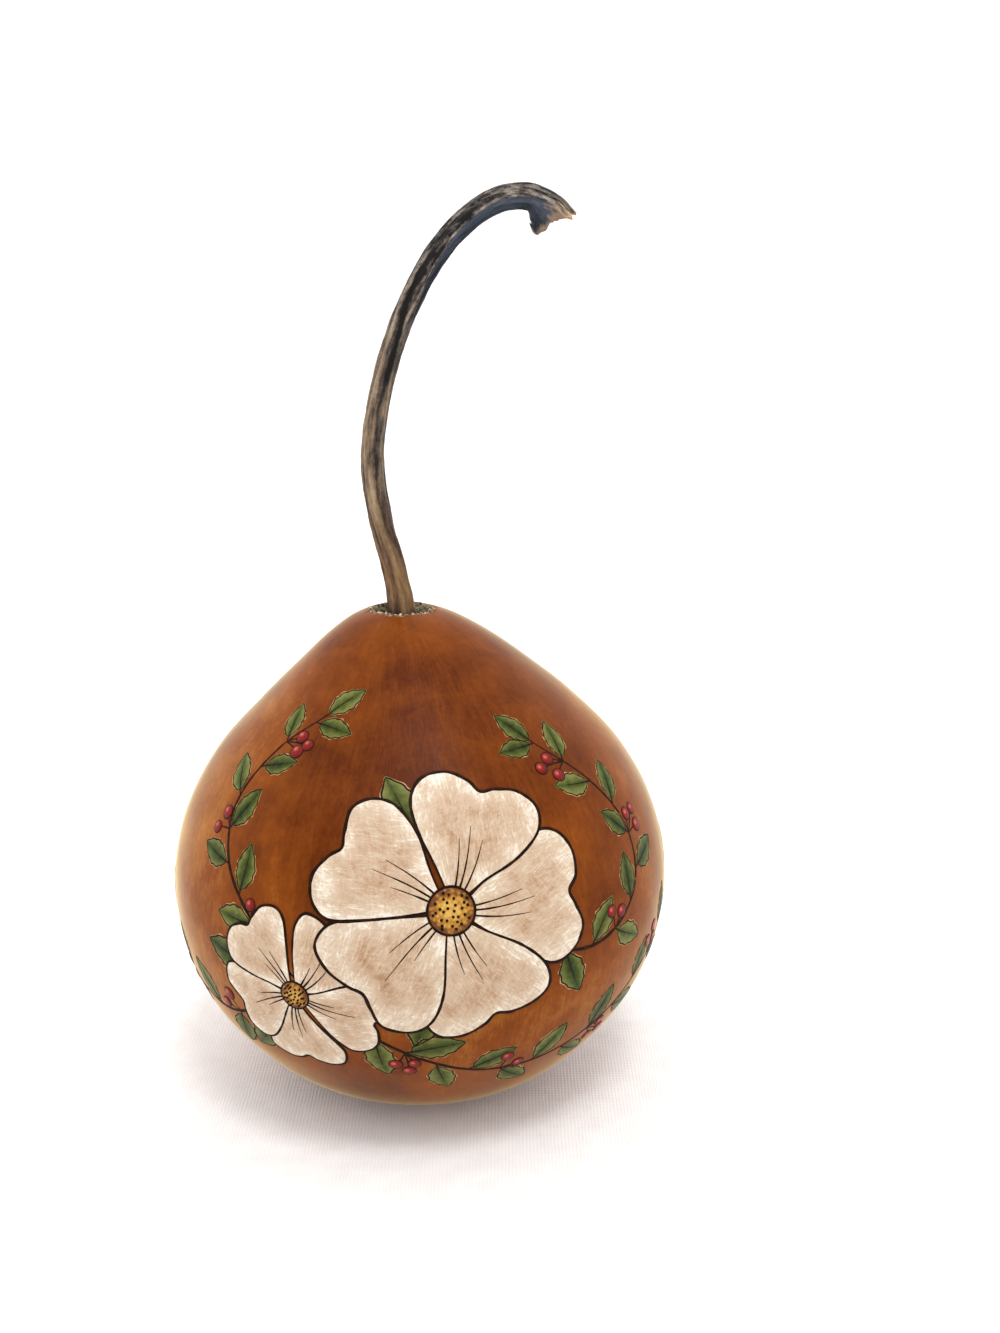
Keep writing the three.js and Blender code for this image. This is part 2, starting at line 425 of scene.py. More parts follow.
def shell_tree():
    """Turns a half section, its y being the lean, into the shell."""
    sizes = dict.fromkeys(("Height", "Lobes", "Dents", "Dent size", "Seed"), "Float")
    tree, node, given = new_tree("Gourd shell", Sides="Int", Rows="Int", Material="Material", **sizes)
    section = node("MeshToCurve", Mesh=given["Geometry"])
    section = node("CurveSplineType", Curve=section, spline_type="CATMULL_ROM")
    across = node("Math", given["Sides"], 1)
    along = node("Math", given["Rows"], 1)
    grid = node("MeshGrid", Size_X=1, Size_Y=1, Vertices_X=across, Vertices_Y=along)
    place = node("SeparateXYZ", node("InputPosition")).node.outputs
    turn = node("Math", place["X"], math.tau, operation="MULTIPLY")
    share = node("Math", place["Y"], 0.5)
    sampled = node("SampleCurve", Curves=section, Factor=share, out="Position")
    radius, lean, height = node("SeparateXYZ", sampled).node.outputs

    # Two soft lobes that fade out towards the bottom and the top
    lobe = node("Math", height, given["Height"], operation="DIVIDE")
    rest = node("Math", 1, lobe, operation="SUBTRACT")
    twice = node("Math", turn, 2, -LOBE_PHASE, operation="MULTIPLY_ADD")
    for factor in (rest, given["Lobes"], node("Math", twice, operation="COSINE")):
        lobe = node("Math", lobe, factor, operation="MULTIPLY")
    swell = node("Math", lobe, 4, 1, operation="MULTIPLY_ADD")
    girth = node("Math", radius, swell, operation="MULTIPLY")
    cosine = node("Math", turn, operation="COSINE")
    sine = node("Math", turn, operation="SINE")
    x = node("Math", girth, cosine, lean, operation="MULTIPLY_ADD")
    y = node("Math", girth, sine, operation="MULTIPLY")
    point = node("CombineXYZ", x, y, height)

    # The dye's streaks run up the flank; the scar and the painted shade deep in its pit lie at the end of the
    # half section
    ring = node("CombineXYZ", cosine, sine, share)
    flow = node("VectorMath", ring, (80 * MM, 80 * MM, 50 * MM), operation="MULTIPLY")
    scar = node("MapRange", share, *SCAR_SPAN, interpolation_type="SMOOTHSTEP")
    pit = node("MapRange", share, *PIT_SHADE_SPAN)
    for name, value, kind in (("flow", flow, "FLOAT_VECTOR"), ("scar", scar, "FLOAT"), ("pit", pit, "FLOAT")):
        grid = node("StoreNamedAttribute", Geometry=grid, Name=name, Value=value, data_type=kind)
    shell = node("SetPosition", Geometry=grid, Position=point)
    shell = node("MergeByDistance", Geometry=shell, Distance=0.002 * MM)

    # Soft dents over the flank, none on the resting spot
    spot = node("InputPosition")
    lift = node("SeparateXYZ", spot, out="Z")
    flank = node("MapRange", lift, 4 * MM, 40 * MM, interpolation_type="SMOOTHSTEP")
    pitch = node("Math", 1, given["Dent size"], operation="DIVIDE")
    seeded = {"Vector": spot, "W": given["Seed"], "noise_dimensions": "4D"}
    swells = node("TexNoise", Scale=pitch, Detail=2.5, Roughness=0.45, **seeded)
    swells = node("Math", swells, 0.5, operation="SUBTRACT")
    for factor in (given["Dents"], flank):
        swells = node("Math", swells, factor, operation="MULTIPLY")

    # Broken edges and crumbled cork in the scar
    torn = node("TexNoise", Scale=1 / (1.7 * MM), Detail=4, Roughness=0.6, **seeded)
    torn = node("Math", torn, 0.52, operation="SUBTRACT")
    for factor in (2.6 * MM, node("InputNamedAttribute", Name="scar")):
        torn = node("Math", torn, factor, operation="MULTIPLY")
    rise = node("Math", swells, torn)
    shift = node("VectorMath", node("InputNormal"), Scale=rise, operation="SCALE")
    shell = node("SetPosition", Geometry=shell, Offset=shift)
    shell = node("SetShadeSmooth", Geometry=shell)
    shell = node("RealizeInstances", Geometry=shell)
    shell = node("SetMaterial", Geometry=shell, Material=given["Material"])
    node("GroupOutput", Geometry=shell)
    return tree


def lay_on_shell(node, geometry, shell, lift):
    """Adds the nodes that lay a geometry on the shell, each point at its own height above it."""
    target = node("ObjectInfo", Object=shell, out="Geometry")
    out = node("VectorMath", node("InputPosition"), tuple(HEART), operation="SUBTRACT")
    # The ray starts well outside the shell and looks at the heart
    far = node("VectorMath", out, Scale=1.4, operation="SCALE")
    source = node("VectorMath", far, tuple(HEART))
    inward = node("VectorMath", out, Scale=-1, operation="SCALE")
    ray = {"Source_Position": source, "Ray_Direction": inward, "Ray_Length": 200 * MM}
    hit = node("Raycast", Target_Geometry=target, out="Hit Position", **ray)
    normal = hit.node.outputs["Hit Normal"]
    rise = node("VectorMath", normal, Scale=lift, operation="SCALE")
    laid = node("VectorMath", hit, rise)
    return node("SetPosition", Geometry=geometry, Position=laid), normal


def finish_film(node, geometry, material):
    """Adds the nodes that close a film's seams, keep its rim sharp and give it its material."""
    closed = node("MergeByDistance", Geometry=geometry, Distance=0.004 * MM)
    smooth = node("SetShadeSmooth", Geometry=closed)
    sharp = node("Compare", A=node("InputMeshEdgeAngle"), B=0.6, operation="GREATER_THAN")
    crisp = node("SetShadeSmooth", Geometry=smooth, Selection=sharp, Shade_Smooth=False, domain="EDGE")
    plain = node("RealizeInstances", Geometry=crisp)
    painted = node("SetMaterial", Geometry=plain, Material=material)
    node("GroupOutput", Geometry=painted)


def film_tree():
    """Lays a drawn film on the shell."""
    tree, node, given = new_tree("Paint film", Shell="Object", Material="Material")
    lift = node("InputNamedAttribute", Name="lift")
    laid, _ = lay_on_shell(node, given["Geometry"], given["Shell"], lift)
    finish_film(node, laid, given["Material"])
    return tree


def line_tree():
    """Burns flat lines along routes on the shell, a little uneven in width."""
    sockets = {"Shell": "Object", "Section": "Object", "Step": "Float", "Unevenness": "Float"}
    tree, node, given = new_tree("Burnt lines", Material="Material", **sockets)
    route = node("MeshToCurve", Mesh=given["Geometry"])
    route = node("CurveSplineType", Curve=route, spline_type="CATMULL_ROM")
    route = node("ResampleCurve", Curve=route, Length=given["Step"], mode="LENGTH")
    laid, normal = lay_on_shell(node, route, given["Shell"], 0)
    laid = node("SetCurveNormal", Curve=laid, Normal=normal, mode="FREE")
    section = node("ObjectInfo", Object=given["Section"], out="Geometry")
    section = node("MeshToCurve", Mesh=section)
    waver = node("TexNoise", Scale=1 / (3.5 * MM), Detail=2)
    waver = node("Math", waver, 0.5, operation="SUBTRACT")
    waver = node("Math", waver, given["Unevenness"], 1, operation="MULTIPLY_ADD")
    width = node("Math", node("InputNamedAttribute", Name="half_width"), waver, operation="MULTIPLY")
    band = node("CurveToMesh", Curve=laid, Profile_Curve=section, Scale=width, Fill_Caps=True)
    lift = node("Math", *(node("InputNamedAttribute", Name=name) for name in ("lift", "layer")))
    burnt, _ = lay_on_shell(node, band, given["Shell"], lift)
    finish_film(node, burnt, given["Material"])
    return tree


def sprinkle_tree():
    """Sets a motif on every anchor, bends it sideways along its length and lays it on the shell."""
    tree, node, given = new_tree("Motifs on anchors", Shell="Object", Motif="Object", Material="Material")
    size, bend, lift = (node("InputNamedAttribute", Name=name) for name in ("size", "bend", "lift"))
    vectors = ("outward", "heading", "drawn")
    outward, heading, drawn = (
        node("InputNamedAttribute", Name=name, data_type="FLOAT_VECTOR") for name in vectors
    )
    axes = {"primary_axis": "Z", "secondary_axis": "Y"}
    turned = node("AxesToRotation", Primary_Axis=outward, Secondary_Axis=heading, **axes)
    motif = node("ObjectInfo", Object=given["Motif"], out="Geometry")
    copies = node("InstanceOnPoints", Points=given["Geometry"], Instance=motif, Rotation=turned, Scale=size)
    copies = node("RealizeInstances", Geometry=copies)
    side = node("VectorMath", heading, outward, operation="CROSS_PRODUCT")
    along = node("SeparateXYZ", drawn, out="Y")
    square = node("Math", along, along, operation="MULTIPLY")
    bend = node("Math", bend, square, operation="MULTIPLY")
    shift = node("VectorMath", side, Scale=bend, operation="SCALE")
    copies = node("SetPosition", Geometry=copies, Offset=shift)
    laid, _ = lay_on_shell(node, copies, given["Shell"], lift)
    finish_film(node, laid, given["Material"])
    return tree


def crumb_tree():
    """Drops points on the shell and sets a rough crumb on each, turned and sized by a seeded draw."""
    sizes = {"Smallest": "Float", "Largest": "Float"}
    tree, node, given = new_tree("Crumbs", Shell="Object", Seed="Int", Material="Material", **sizes)
    target = node("ObjectInfo", Object=given["Shell"], out="Geometry")
    down = {"Ray_Direction": (0, 0, -1), "Ray_Length": 50 * MM}
    fallen = node("Raycast", Target_Geometry=target, out="Hit Position", **down)
    points = node("SetPosition", Geometry=given["Geometry"], Position=fallen)
    ball = node("MeshIcoSphere", Radius=1, Subdivisions=2)
    drawn = {"Seed": given["Seed"], "data_type": "FLOAT_VECTOR"}
    turn = node("RandomValue", Min=(0, 0, 0), Max=(math.tau,) * 3, **drawn)
    stretch = node("RandomValue", Min=(0.7, 0.5, 0.35), Max=(1.5, 1.1, 0.8), **drawn)
    size = node("RandomValue", Min=given["Smallest"], Max=given["Largest"], Seed=given["Seed"])
    scale = node("VectorMath", stretch, Scale=size, operation="SCALE")
    crumbs = node("InstanceOnPoints", Points=points, Instance=ball, Rotation=turn, Scale=scale)
    crumbs = node("RealizeInstances", Geometry=crumbs)
    rough = node("TexNoise", Scale=1 / (0.9 * MM), Detail=2)
    rough = node("Math", rough, 0.5, operation="SUBTRACT")
    rough = node("Math", rough, 0.9 * MM, operation="MULTIPLY")
    shift = node("VectorMath", node("InputNormal"), Scale=rough, operation="SCALE")
    crumbs = node("SetPosition", Geometry=crumbs, Offset=shift)
    crumbs = node("SetMaterial", Geometry=crumbs, Material=given["Material"])
    node("GroupOutput", Geometry=crumbs)
    return tree


def new_material(name):
    """An empty node material; returns it and the function that adds its nodes."""
    material = bpy.data.materials.new(name)
    material.use_nodes = True
    material.node_tree.nodes.clear()
    return material, partial(add, material.node_tree)


def surface(node, **inputs):
    """Closes a material with its shader."""
    node("OutputMaterial", Surface=node("BsdfPrincipled", **inputs))


def shell_material(settings):
    """Gourd shell, leather-dyed, rubbed and satin varnished: cloudy brown under a clear soft gloss, with
    painted shade under the belly and on the back.
    """
    material, node = new_material("Gourd shell, leather-dyed and satin varnished")
    place = node("TexCoord", out="Object")
    flow = node("Attribute", attribute_name="flow", out="Vector")
    clouds = node("TexNoise", Vector=place, Scale=1 / (46 * MM), Detail=4, Distortion=0.4)
    streaks = node("TexNoise", Vector=flow, Scale=1 / (7 * MM), Detail=5, Roughness=0.6, Distortion=0.3)
    rubs = node("TexNoise", Vector=flow, Scale=1 / (1.1 * MM), Detail=3, Roughness=0.6, Distortion=0.9)
    blotches = node("TexNoise", Vector=place, Scale=1 / (11 * MM), Detail=4, Roughness=0.55, Distortion=0.6)
    grain = node("TexNoise", Vector=place, Scale=1 / (1.6 * MM), Detail=4)

    # Lighter to the left and on the sides, partly dye rubbed thinner and partly painted rim light; darker
    # high up, where the dye gathered
    zone = node("VectorMath", place, (-0.9, 1.4, -4.4), operation="DOT_PRODUCT", out="Value")
    shade = node("Math", clouds, 1.1, zone, operation="MULTIPLY_ADD")
    parts = node("SeparateXYZ", place).node.outputs
    # Painted shade under the belly, and the back painted darker to even out the bright light from behind
    belly_shade = (parts["Z"], 12 * MM, 62 * MM, -0.42, 0)
    sides = (parts["Y"], -72 * MM, -4 * MM, 0, 0.13)
    back = (parts["Y"], 6 * MM, 78 * MM, 0, -0.3)
    for span in (belly_shade, sides, back):
        part = node("MapRange", *span, interpolation_type="SMOOTHSTEP")
        shade = node("Math", shade, part)
    for pattern, weight in ((streaks, 0.26), (rubs, 0.3), (blotches, 0.4), (grain, 0.2)):
        shade = node("Math", pattern, weight, shade, operation="MULTIPLY_ADD")
    shade = node("Math", shade, 0.18, operation="SUBTRACT")
    dyes_and_shade = {0.18: settings.dark_dye_and_shade, 0.58: settings.dye, 1: settings.bare_shell}
    colour = node("ValToRGB", shade, stops=dyes_and_shade)

    # Small dark pores
    pores = node("TexVoronoi", Vector=place, Scale=1 / (5.5 * MM))
    pores = node("MapRange", pores, 0.05, 0.085, 0.4, 0)

    # Cork and old pith where the shell shrank away from the stem, darkened deep in the pit by painted shade
    crumble = node("TexNoise", Vector=place, Scale=1 / (1.5 * MM), Detail=5)
    scar = node("Attribute", attribute_name="scar", out="Fac")
    scar = node("Math", crumble, 0.9, scar, operation="MULTIPLY_ADD")
    scar = node("MapRange", scar, 0.95, 1.1)
    cork = node("ValToRGB", crumble, stops={0.36: linear("2a211b"), 0.7: linear("b09a7b")})
    # Painted shade deep in the pit
    pit = node("Attribute", attribute_name="pit", out="Fac")
    pit = node("Math", pit, 0.85, operation="MULTIPLY")
    cork = node("Mix", Factor=pit, A=cork, B=linear("1b1410"), data_type="RGBA")
    for share, layer in ((pores, linear("3a1b0c")), (scar, cork)):
        colour = node("Mix", Factor=share, A=colour, B=layer, data_type="RGBA")

    gloss = node("MapRange", streaks, 0.3, 0.7, 0.3, 0.44)
    gloss = node("Mix", Factor=scar, A=gloss, B=0.9)
    relief = node("Math", grain, 0.5, streaks, operation="MULTIPLY_ADD")
    bump = node("Bump", Height=relief, Strength=0.12, Distance=0.25 * MM)
    varnish = {"IOR": 1.5, "Specular_IOR_Level": 0.06}
    bloom = {"Sheen_Weight": 1.0, "Sheen_Roughness": 0.23, "Sheen_Tint": linear("ffecb4")}
    surface(node, Base_Color=colour, Roughness=gloss, Normal=bump, **varnish, **bloom)
    return material


def crumb_material():
    """Dry cork crumbs left round the stem: chalky and pale."""
    material, node = new_material("Gourd cork, crumbled")
    place = node("TexCoord", out="Object")
    spots = node("TexNoise", Vector=place, Scale=1 / (1.2 * MM), Detail=3)
    cork = {0.36: linear("463c33"), 0.5: linear("9a876d"), 0.64: linear("e6dccb")}
    colour = node("ValToRGB", spots, stops=cork)
    surface(node, Base_Color=colour, Roughness=0.95, IOR=1.4, Specular_IOR_Level=0.2)
    return material


def stem_material(settings):
    """Gourd stem, air-dried and weathered: pale ridges, grooves dark partly with painted shade, matt fibres
    and a bare torn end.
    """
    material, node = new_material("Gourd stem, air-dried")
    place = node("TexCoord", out="Object")
    fibre = node("Attribute", attribute_name="fibre", out="Vector")
    marks = ("groove", "cool", "inner", "torn", "foot", "base", "worn")
    groove, cool, inner, torn, foot, base, worn = (
        node("Attribute", attribute_name=mark, out="Fac") for mark in marks
    )
    threads = node("TexNoise", Vector=fibre, Scale=1 / (1.1 * MM), Detail=5, Roughness=0.65)
    patches = node("TexNoise", Vector=fibre, Scale=1 / (3.2 * MM), Detail=4, Roughness=0.6)
    mottle = node("TexNoise", Vector=place, Scale=1 / (1.9 * MM), Detail=4, Roughness=0.7)

    # Short flecks show where the stem is worn
    swept = node("Mapping", Vector=fibre, Scale=(1, 1, 2.6))
    flecks = node("TexNoise", Vector=swept, Scale=1 / (1.7 * MM), Detail=5, Roughness=0.72)
    flecks = node("Math", flecks, 2.7, -1.3, operation="MULTIPLY_ADD")
    shade = node("Math", flecks, worn, -0.82, operation="MULTIPLY_ADD")
    # The grooves are darker, partly their own colour and partly painted shade
    weights = (threads, 1.3), (patches, 1.1), (mottle, 0.5), (groove, -0.85), (cool, -0.16), (worn, -0.26)
    for pattern, weight in weights:
        shade = node("Math", pattern, weight, shade, operation="MULTIPLY_ADD")
    barks = {0.1: linear("1b1817"), 0.38: settings.face, 0.68: settings.crest, 0.95: linear("b6a38c")}
    colour = node("ValToRGB", shade, stops=barks)

    # Warm and cool patches, greyer where worn
    tinge = node("TexNoise", Vector=place, Scale=1 / (7 * MM), Detail=3)
    tinge = node("Math", cool, 0.5, tinge, operation="MULTIPLY_ADD")
    tint = node("Mix", Factor=tinge, A=linear("b58f74"), B=linear("8b9490"), data_type="RGBA")
    colour = node("Mix", Factor=0.25, A=colour, B=tint, data_type="RGBA", blend_type="OVERLAY")
    faded = node("Math", worn, -0.45, 1, operation="MULTIPLY_ADD")
    colour = node("HueSaturation", Saturation=faded, Color=colour)

    # Dark inner side of the crook, warm foot, painted shade on the base where it sinks into the scar, and
    # bare torn wood
    lit = node("Math", cool, -0.4, threads, operation="MULTIPLY_ADD")
    dark = node("Mix", Factor=lit, A=settings.shade, B=linear("5f6a7c"), data_type="RGBA")
    blots = node("MapRange", patches, 0.42, 0.66)
    warm = node("Mix", Factor=blots, A=linear("52301c"), B=linear("9a774b"), data_type="RGBA")
    shares = (inner, 0.9), (foot, 0.68), (base, 0.75)
    inner, foot, base = (node("Math", mark, share, operation="MULTIPLY") for mark, share in shares)
    grain = node("MapRange", threads, 0.35, 0.62)
    bare = linear("8f6a4b")
    for share, layer in ((grain, settings.wood), (inner, linear("86705e"))):
        bare = node("Mix", Factor=share, A=bare, B=layer, data_type="RGBA")
    for share, layer in ((inner, dark), (foot, warm), (base, linear("2b1a12")), (torn, bare)):
        colour = node("Mix", Factor=share, A=colour, B=layer, data_type="RGBA")

    relief = node("Math", threads, 1.5, mottle, operation="MULTIPLY_ADD")
    bump = node("Bump", Height=relief, Strength=0.6, Distance=0.3 * MM)
    dust = {"Sheen_Weight": 0.35, "Sheen_Roughness": 0.3, "Sheen_Tint": linear("e6e2da")}
    surface(node, Base_Color=colour, Roughness=0.82, Normal=bump, IOR=1.45, Specular_IOR_Level=0.25, **dust)
    return material


def cream_material(settings):
    """Cream craft paint, dry-brushed: broken streaks over brown, thicker and whiter along the edges."""
    material, node = new_material("Cream craft paint, dry-brushed")
    stroke = node("Attribute", attribute_name="stroke", out="Vector")
    inside = node("Attribute", attribute_name="inside", out="Fac")
    brushed = {"Vector": stroke, "vector_type": "TEXTURE"}
    cover = node("Math", inside, -0.38, -0.5, operation="MULTIPLY_ADD")
    # Two layers of short strokes that cross, over patches of thinner and thicker paint
    for lean, pitch, weight in ((0.15, 0.9, 0.75), (-0.9, 1.1, 0.55)):
        swept = node("Mapping", Rotation=(0, 0, lean), Scale=(1, 5, 1), **brushed)
        hair = {"Scale": 1 / (pitch * MM), "Detail": 4, "Roughness": 0.62, "Distortion": 1.1}
        bristles = node("TexNoise", Vector=swept, **hair)
        cover = node("Math", bristles, weight, cover, operation="MULTIPLY_ADD")
    for size, weight in ((6.5, 0.9), (0.8, 0.3)):
        dabs = node("TexNoise", Vector=stroke, Scale=1 / (size * MM), Detail=3)
        cover = node("Math", dabs, weight, cover, operation="MULTIPLY_ADD")
    # Single hairs of the brush leave sharp pale scratches
    swept = node("Mapping", Rotation=(0, 0, 0.5), Scale=(1, 9, 1), **brushed)
    hairs = node("TexNoise", Vector=swept, Scale=1 / (0.75 * MM), Detail=2, Distortion=1.4)
    hairs = node("MapRange", hairs, 0.56, 0.64, 0, 0.22)
    cover = node("Math", cover, hairs)
    coats = {0: linear("a37850"), 0.4: settings.cream, 0.68: linear("d3bca2"), 1: settings.white}
    colour = node("ValToRGB", cover, stops=coats)
    bump = node("Bump", Height=bristles, Strength=0.25, Distance=0.2 * MM)
    surface(node, Base_Color=colour, Roughness=0.5, Normal=bump, IOR=1.48, Specular_IOR_Level=0.3)
    return material


def ochre_material(settings):
    """Ochre craft paint, stippled: a grainy gold that darkens towards its rim."""
    material, node = new_material("Ochre craft paint, stippled")
    place = node("TexCoord", out="Object")
    inside = node("Attribute", attribute_name="inside", out="Fac")
    dabs = node("TexVoronoi", Vector=place, Scale=1 / (1.3 * MM))
    shade = node("Math", dabs, -0.9, inside, operation="MULTIPLY_ADD")
    shade = node("Math", shade, 0.4)
    golds = {0.1: linear("6a3a12"), 0.55: settings.ochre, 1: linear("dcae55")}
    colour = node("ValToRGB", shade, stops=golds)
    bump = node("Bump", Height=dabs, Strength=0.3, Distance=0.3 * MM)
    surface(node, Base_Color=colour, Roughness=0.5, Normal=bump, IOR=1.48, Specular_IOR_Level=0.3)
    return material


def leaf_material(settings):
    """Green craft paint, brushed wet: a dark streak down the middle fades to yellow-green edges."""
    material, node = new_material("Green craft paint, brushed")
    place = node("TexCoord", out="Object")
    tone = node("Attribute", attribute_name="tone", out="Fac")
    drawn = node("Attribute", attribute_name="drawn", out="Vector")
    parts = node("SeparateXYZ", drawn).node.outputs
    across = node("Math", parts["X"], operation="ABSOLUTE")
    brush = node("TexNoise", Vector=place, Scale=1 / (2 * MM), Detail=4, Roughness=0.6)
    shade = -0.4
    for pattern, weight in ((brush, 0.8), (across, 0.75), (tone, 0.3), (parts["Y"], 0.18)):
        shade = node("Math", pattern, weight, shade, operation="MULTIPLY_ADD")
    greens = {0.08: linear("14260a"), 0.5: settings.leaf, 1: settings.leaf_edge}
    colour = node("ValToRGB", shade, stops=greens)
    # Outside the burnt outline a sliver of bare shell shows
    rim = node("MapRange", across, 1, 1.06)
    sliver = node("MapRange", brush, 0.42, 0.62)
    bare = node("Mix", Factor=sliver, A=linear("6d3a12"), B=linear("c39a68"), data_type="RGBA")
    colour = node("Mix", Factor=rim, A=colour, B=bare, data_type="RGBA")
    bump = node("Bump", Height=brush, Strength=0.2, Distance=0.2 * MM)
    surface(node, Base_Color=colour, Roughness=0.48, Normal=bump, IOR=1.48, Specular_IOR_Level=0.12)
    return material


def berry_material(settings):
    """Red craft paint, dabbed thick: round berries with a pink light spot."""
    material, node = new_material("Red craft paint, dabbed")
    drawn = node("Attribute", attribute_name="drawn", out="Vector")
    tone = node("Attribute", attribute_name="tone", out="Fac")
    glint = node("VectorMath", drawn, (-0.3, 0.32, 0), operation="DISTANCE", out="Value")
    glow = node("MapRange", glint, 0.12, 0.46, 0.5, 0)
    body = node("MapRange", glint, 0.3, 1.3, 0.1, 1)
    colour = settings.berry
    for share, layer in ((body, "4f0d0b"), (tone, "7c1712"), (glow, "d98576")):
        colour = node("Mix", Factor=share, A=colour, B=linear(layer), data_type="RGBA")
    surface(node, Base_Color=colour, Roughness=0.4, IOR=1.48, Specular_IOR_Level=0.15)
    return material


def burnt_material(settings):
    """Shell burnt with a hot point: nearly black, matt, browner where the point ran fast. Made once."""
    name = "Gourd shell, burnt with a hot point"
    if name in bpy.data.materials:
        return bpy.data.materials[name]
    material, node = new_material(name)
    place = node("TexCoord", out="Object")
    heat = node("TexNoise", Vector=place, Scale=1 / (2.4 * MM), Detail=3)
    colour = node("ValToRGB", heat, stops={0.45: settings.burnt, 0.75: linear("3a1a09")})
    surface(node, Base_Color=colour, Roughness=0.6, IOR=1.45, Specular_IOR_Level=0.1)
    return material


def cloth_material(settings):
    """Cotton canvas, plain and washed: a fine weave that barely shows."""
    material, node = new_material("Cotton canvas, washed")
    place = node("TexCoord", out="Object")
    # Threads are drawn 1.2 mm apart, about twice as coarse as canvas, so that they show
    thread = {"Vector": place, "Scale": 1 / (1.2 * MM) / 3, "Distortion": 1.5, "Detail": 2}
    warp, weft = (node("TexWave", bands_direction=axis, **thread) for axis in "XY")
    weave = node("Math", warp, weft, operation="MULTIPLY")
    slubs = node("TexNoise", Vector=place, Scale=1 / (9 * MM), Detail=5)
    relief = node("Math", slubs, 1.5, weave, operation="MULTIPLY_ADD")
    shade = node("Math", weave, 0.6, slubs, operation="MULTIPLY_ADD")
    cotton = node("Mix", Factor=shade, A=linear("e3dfdd"), B=settings.cloth, data_type="RGBA")
    bump = node("Bump", Height=relief, Strength=0.5, Distance=0.3 * MM)
    glow = {"Emission_Color": settings.cloth, "Emission_Strength": 0.1}
    surface(node, Base_Color=cotton, Roughness=0.9, Normal=bump, IOR=1.4, **glow)
    return material


def even_curve(points, count):
    """Evenly spaced points and unit tangents along a centripetal line through points, and its length."""
    p = np.asarray(points, float)
    p = np.vstack([2 * p[0] - p[1], p, 2 * p[-1] - p[-2]])
    t = np.linspace(0, 1, 40, endpoint=False)[:, None]
    runs = []
    for a, b, c, d in zip(p[:-3], p[1:-2], p[2:-1], p[3:]):
        before, here, after = (np.linalg.norm(q) ** 0.5 for q in (b - a, c - b, d - c))
        leave = (b - a) / before - (c - a) / (before + here) + (c - b) / here
        reach = (c - b) / here - (d - b) / (here + after) + (d - c) / after
        leave, reach = leave * here, reach * here
        swing = (-3 * b + 3 * c - 2 * leave - reach) * t**2 + (2 * b - 2 * c + leave + reach) * t**3
        runs.append(b + leave * t + swing)
    dense = np.vstack(runs + [p[-2:-1]])
    run = run_along(dense)
    even = np.linspace(0, run[-1], count)
    line = np.stack([np.interp(even, run, axis) for axis in dense.T], -1)
    return line, unit(np.gradient(line, axis=0)), run[-1]


class GOURD_OT_stage(bpy.types.Operator):
    """Lays the cloth, sets the lights and the camera"""

    bl_idname = "gourd.build_stage"
    bl_label = "Stage"

    HALF_FLOOR = 3000 * MM
    FAR_LIGHT = 1.3  # brightness of the white surroundings
    SEEN_LIGHT = 1.2  # their brightness as the camera sees them
    # Lamps as [setting that holds the strength, width, tilt from the front and tilt from the side in degrees]
    LAMPS = [["window_light", 48, 35, -6], ["ceiling_light", 15, 22, 8]]

    def execute(self, context):
        settings = context.scene.gourd_stage
        corners = np.array([(-1, -1, 0), (1, -1, 0), (1, 1, 0), (-1, 1, 0)]) * self.HALF_FLOOR
        floor = mesh_object("cloth_floor", corners, [(0, 1, 2, 3)])
        floor.data.materials.append(cloth_material(settings))

        # The far side and the ceiling are white; the side that the camera stands on is a dim room
        world = bpy.data.worlds.new("White surroundings, dim front")
        world.use_nodes = True
        world.node_tree.nodes.clear()
        node = partial(add, world.node_tree)
        depth = node("SeparateXYZ", node("TexCoord", out="Generated"), out="Y")
        room = (depth, -0.8, 0.15, settings.front_light, self.FAR_LIGHT)
        glow = node("MapRange", *room, interpolation_type="SMOOTHSTEP")
        seen = node("LightPath", out="Is Camera Ray")
        glow = node("Mix", Factor=seen, A=glow, B=self.SEEN_LIGHT)
        node("OutputWorld", Surface=node("Background", Color=(1, 1, 1, 1), Strength=glow))
        context.scene.world = world
        context.scene.view_settings.view_transform = "Standard"

        for name, width, front, side in self.LAMPS:
            light = bpy.data.lights.new(name, "SUN")
            light.angle = math.radians(width)
            light.energy = getattr(settings, name)
            lamp = bpy.data.objects.new(name, light)
            lamp.rotation_euler = (math.radians(front), math.radians(side), 0)
            context.scene.collection.objects.link(lamp)

        pitch, distance = settings.camera_pitch, settings.camera_distance
        camera = bpy.data.objects.new("camera", bpy.data.cameras.new("camera"))
        camera.data.lens = settings.lens
        camera.data.clip_start = 10 * MM
        height = settings.camera_height + distance * math.sin(pitch)
        camera.location = (settings.camera_side, -distance * math.cos(pitch), height)
        camera.rotation_euler = (math.pi / 2 - pitch, 0, 0)
        context.scene.collection.objects.link(camera)
        context.scene.camera = camera
        return {"FINISHED"}


class GOURD_OT_shell(bpy.types.Operator):
    """Grows the dyed shell from its half section"""

    bl_idname = "gourd.build_shell"
    bl_label = "Shell"

    DENT_SEED = 3.7

    def execute(self, context):
        settings = context.scene.gourd_shell
        section = np.array(DIMPLE + FLANK + SCAR) * MM
        lean = shell_lean(section[:, 1], settings.top_lean)
        lean[-len(SCAR) :] = settings.top_lean
        points = np.stack([section[:, 0], lean, section[:, 1]], -1)
        shell = mesh_object(SHELL, points, edges=[(i, i + 1) for i in range(len(points) - 1)])
        names = ("Sides", "Rows", "Lobes", "Dents", "Dent_size")
        inputs = {name: getattr(settings, name.lower()) for name in names}
        look = shell_material(settings)
        grow(shell, shell_tree(), Height=BODY_TOP, Seed=self.DENT_SEED, Material=look, **inputs)
        keep(shell, "shell", "gourd_body")
        return {"FINISHED"}


